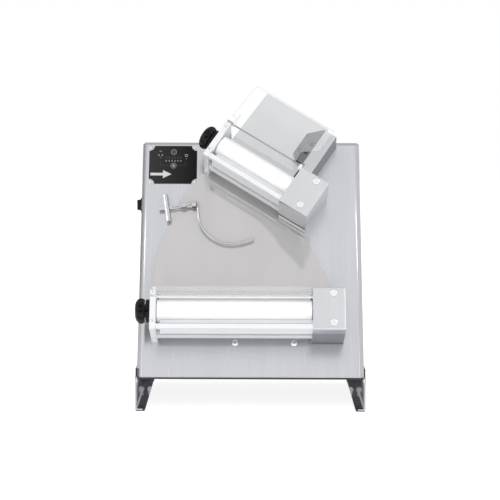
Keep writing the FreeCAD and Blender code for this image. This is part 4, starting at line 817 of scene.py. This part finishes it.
# The plates' ears are painted darker, a painted shade in a darker copy of their aluminium; the hinge rod
# and the bracket's bolts are of darker metal. They start at these distances up a unit, in metres, and
# the ears lie above this height over the panel.
ear_start = 0.0925
ear_rise = 0.09
hinge_rod_start = 0.0935
bracket_start = 0.13
for unit, place, length in (("lower", lower_place, lower_length), ("upper", upper_place, upper_length)):
    plate_middle = -length - end_plate / 2
    heads = [
        (place, (cover_bolt, bolt_low, unit_rise), outwards, heavy_thread),
        (place, (cover_bolt, bolt_high, unit_rise), outwards, heavy_thread),
        (place, (plate_middle, bolt_low, unit_rise), outwards, large_thread),
        (place, (plate_middle, bolt_high, unit_rise), outwards, large_thread),
        (place, (plate_middle, 0.0, foot_screw_rise), (0, -1, 0), small_thread),
    ]
    if unit == "upper":
        for inset, up in ((26.5, 146.0), (9.5, 146.0), (9.5, 169.0)):
            at = (fold_across - inset, up, fold_rise - flange_slope * inset)
            heads.append((place, at, (-flange_slope, 0, 1), medium_thread))
    to_unit = place.inverted()
    bolts = screws(unit + "_fasteners", heads, zinc, keep=True)
    repaint(bolts, dark_bolt, lambda centre, normal: (to_unit @ centre).y > bracket_start)
    gap_knob(unit, place, -length - knob_gap)
    for part, rounding in (("_end_plate", 0.0008), ("_gear_plate", 0.0006)):
        plate = finished(unit + part, plate_metal, rounding=rounding)
        # The ears get the darker copy of the aluminium, a painted shade.
        repaint(plate, shade_painted_ear_metal, lambda centre, normal: (
            (to_unit @ centre).y > ear_start and (to_unit @ centre).z > ear_rise))
    housing = finished(unit + "_gear_housing", cover_steel, rounding=0.0005)
    # Painted light on the cover's foot side: bands of painted shade, highlight, shadow and reflection.
    for low, high, material in painted_light_bands[unit]:
        paint_light_band(housing, place, low, high, material)
    finished(unit + "_front_roller", roller_white, rounding=0.0012)
    finished(unit + "_rear_roller", roller_white, rounding=0.0012)
    bars = finished(unit + "_tie_bars", plate_metal, rounding=0.0006)
    repaint(bars, dark_rod, lambda centre, normal: (
        unit == "upper" and (to_unit @ centre).y > hinge_rod_start))
    finished(unit + "_scrapers", scraper_white, rounding=0.0005)
    finished(unit + "_gap_collar", knob_black, rounding=0.0014, steps=3)
    for part, material in inside.items():
        coat(unit + "_" + part, material)


# Screws of the body: zinc-plated button heads that hold the skids, the control plate, the back cover
# and the base plate, and two heavy bolts on the front panel at the lower unit's foot. In millimetres.
machine = Matrix.Identity(4)
skid_face = 246.0
skid_screw_rise = 80.5
cover_face = 186.5
cover_screw_side = 223.0
cover_screw_low = 79.0
cover_screw_middle = 313.7
cover_screw_high = 548.4
base_face = 70.0
lower_across = 130.4
panel_bolt_up = 78.1
body_heads = []
for side in (-1, 1):
    for y in (-105.0, 0.0, 115.0):
        body_heads.append((machine, (side * skid_face, y, skid_screw_rise), (side, 0, 0), medium_thread))
    for up in (-41.5, 41.5):
        at = (plate_centre[0] + side * 49.5, plate_centre[1] + up, 0)
        body_heads.append((panel, at, outwards, small_thread))
    for z in (cover_screw_low, cover_screw_middle, cover_screw_high):
        body_heads.append((machine, (side * cover_screw_side, cover_face, z), (0, 1, 0), small_thread))
for x in (-178.0, -20.0, lower_across):
    for y in (-138.0, 179.0):
        body_heads.append((machine, (x, y, base_face), (0, 0, -1), small_thread))
for z in (cover_screw_low, cover_screw_high):
    body_heads.append((machine, (0.0, cover_face, z), (0, 1, 0), small_thread))
for inset in (163.6, 37.0):
    body_heads.append((panel, (lower_across - inset, panel_bolt_up, 0), outwards, heavy_thread))
screws("body_screws", body_heads, zinc)


# Guards: clear polycarbonate sheet with greyer cut edges. The lower one is fixed; the upper one hangs
# on two arms that turn with it.
widest_edge = 0.0026
shortest_edge = 0.003


def clear_sheet(name, alpha, code):
    """Clear polycarbonate: almost unseen face on, with its gloss at a slant."""
    material = bpy.data.materials.new(name)
    material.use_nodes = True
    tree = material.node_tree
    shader = tree.nodes["Principled BSDF"]
    shader.inputs["Base Color"].default_value = colour(code)
    shader.inputs["IOR"].default_value = 1.58
    place = add(tree, "ShaderNodeTexCoord", {})
    haze = add(tree, "ShaderNodeTexNoise", {
        "Vector": place.outputs["Object"], "Scale": 40.0, "Detail": 3.0})
    gloss = add(tree, "ShaderNodeMapRange", {
        "Value": haze.outputs["Fac"], "From Min": 0.3, "From Max": 0.7, "To Min": 0.03, "To Max": 0.07})
    rim = add(tree, "ShaderNodeLayerWeight", {"Blend": 0.35})
    veil = add(tree, "ShaderNodeMapRange", {
        "Value": rim.outputs["Facing"], "From Min": 0.0, "From Max": 1.0,
        "To Min": alpha[0], "To Max": alpha[1]})
    tree.links.new(gloss.outputs[0], shader.inputs["Roughness"])
    tree.links.new(veil.outputs[0], shader.inputs["Alpha"])
    return material


clear = clear_sheet("clear_polycarbonate", (0.05, 0.5), "f2f5f6")
cut_edge = clear_sheet("polycarbonate_cut_edge", (0.45, 0.8), "a4aaae")
for node in ("lower_guard", "upper_guard", "guard_arms"):
    guard = finished(node, clear, rounding=0.0003)
    guard.data.materials.append(cut_edge)
    for face in guard.data.polygons:
        corners = [guard.data.vertices[index].co for index in face.vertices]
        longest = max((a - b).length for a, b in zip(corners, corners[1:] + corners[:1]))
        if face.area / longest < widest_edge and longest > shortest_edge:
            face.material_index = 1


# Feed chute and its bracket: thin stainless, brushed along the tilted unit, and a polished folded
# bracket on its right whose outward faces are brushed like the chute.
chute_grain = 0.576
chute_steel = brushed_steel(
    "satin_chute_sheet", "dadbdd", "d3d4d6", rough=(0.3, 0.4), streak=0.0016, run=0.2, turn=chute_grain)
bracket_steel = polished_steel("polished_bracket_sheet", "85858b", rough=0.11)
finished("feed_chute", chute_steel, rounding=0.0004)
bracket = finished("chute_bracket", bracket_steel, rounding=0.0007)
repaint(bracket, chute_steel, lambda centre, normal: (
    normal.dot(upper_place.to_3x3() @ Vector(outwards)) > 0.95))


# Pendulum: arm, counterweight and bent wire of bright ground steel, with softly broken edges. They
# swing together on a short post over the slide sheet.
rod_steel = polished_steel("ground_rod_steel", "d8d8dc", rough=0.12)
finished("pendulum_post", rod_steel, rounding=0.0003)
finished("pendulum_arm", rod_steel, rounding=0.0004)
finished("counterweight", rod_steel, rounding=0.0003)
finished("turning_wire", rod_steel, rounding=0.0)


# Main switch and cable gland: glossy black mouldings, the switch with its flange on the left wall
# and the gland in the back cover.
finished("main_switch", knob_black, rounding=0.0005)
finished("switch_knob", knob_black, rounding=0.0005)
finished("cable_gland", knob_black, rounding=0.0005)
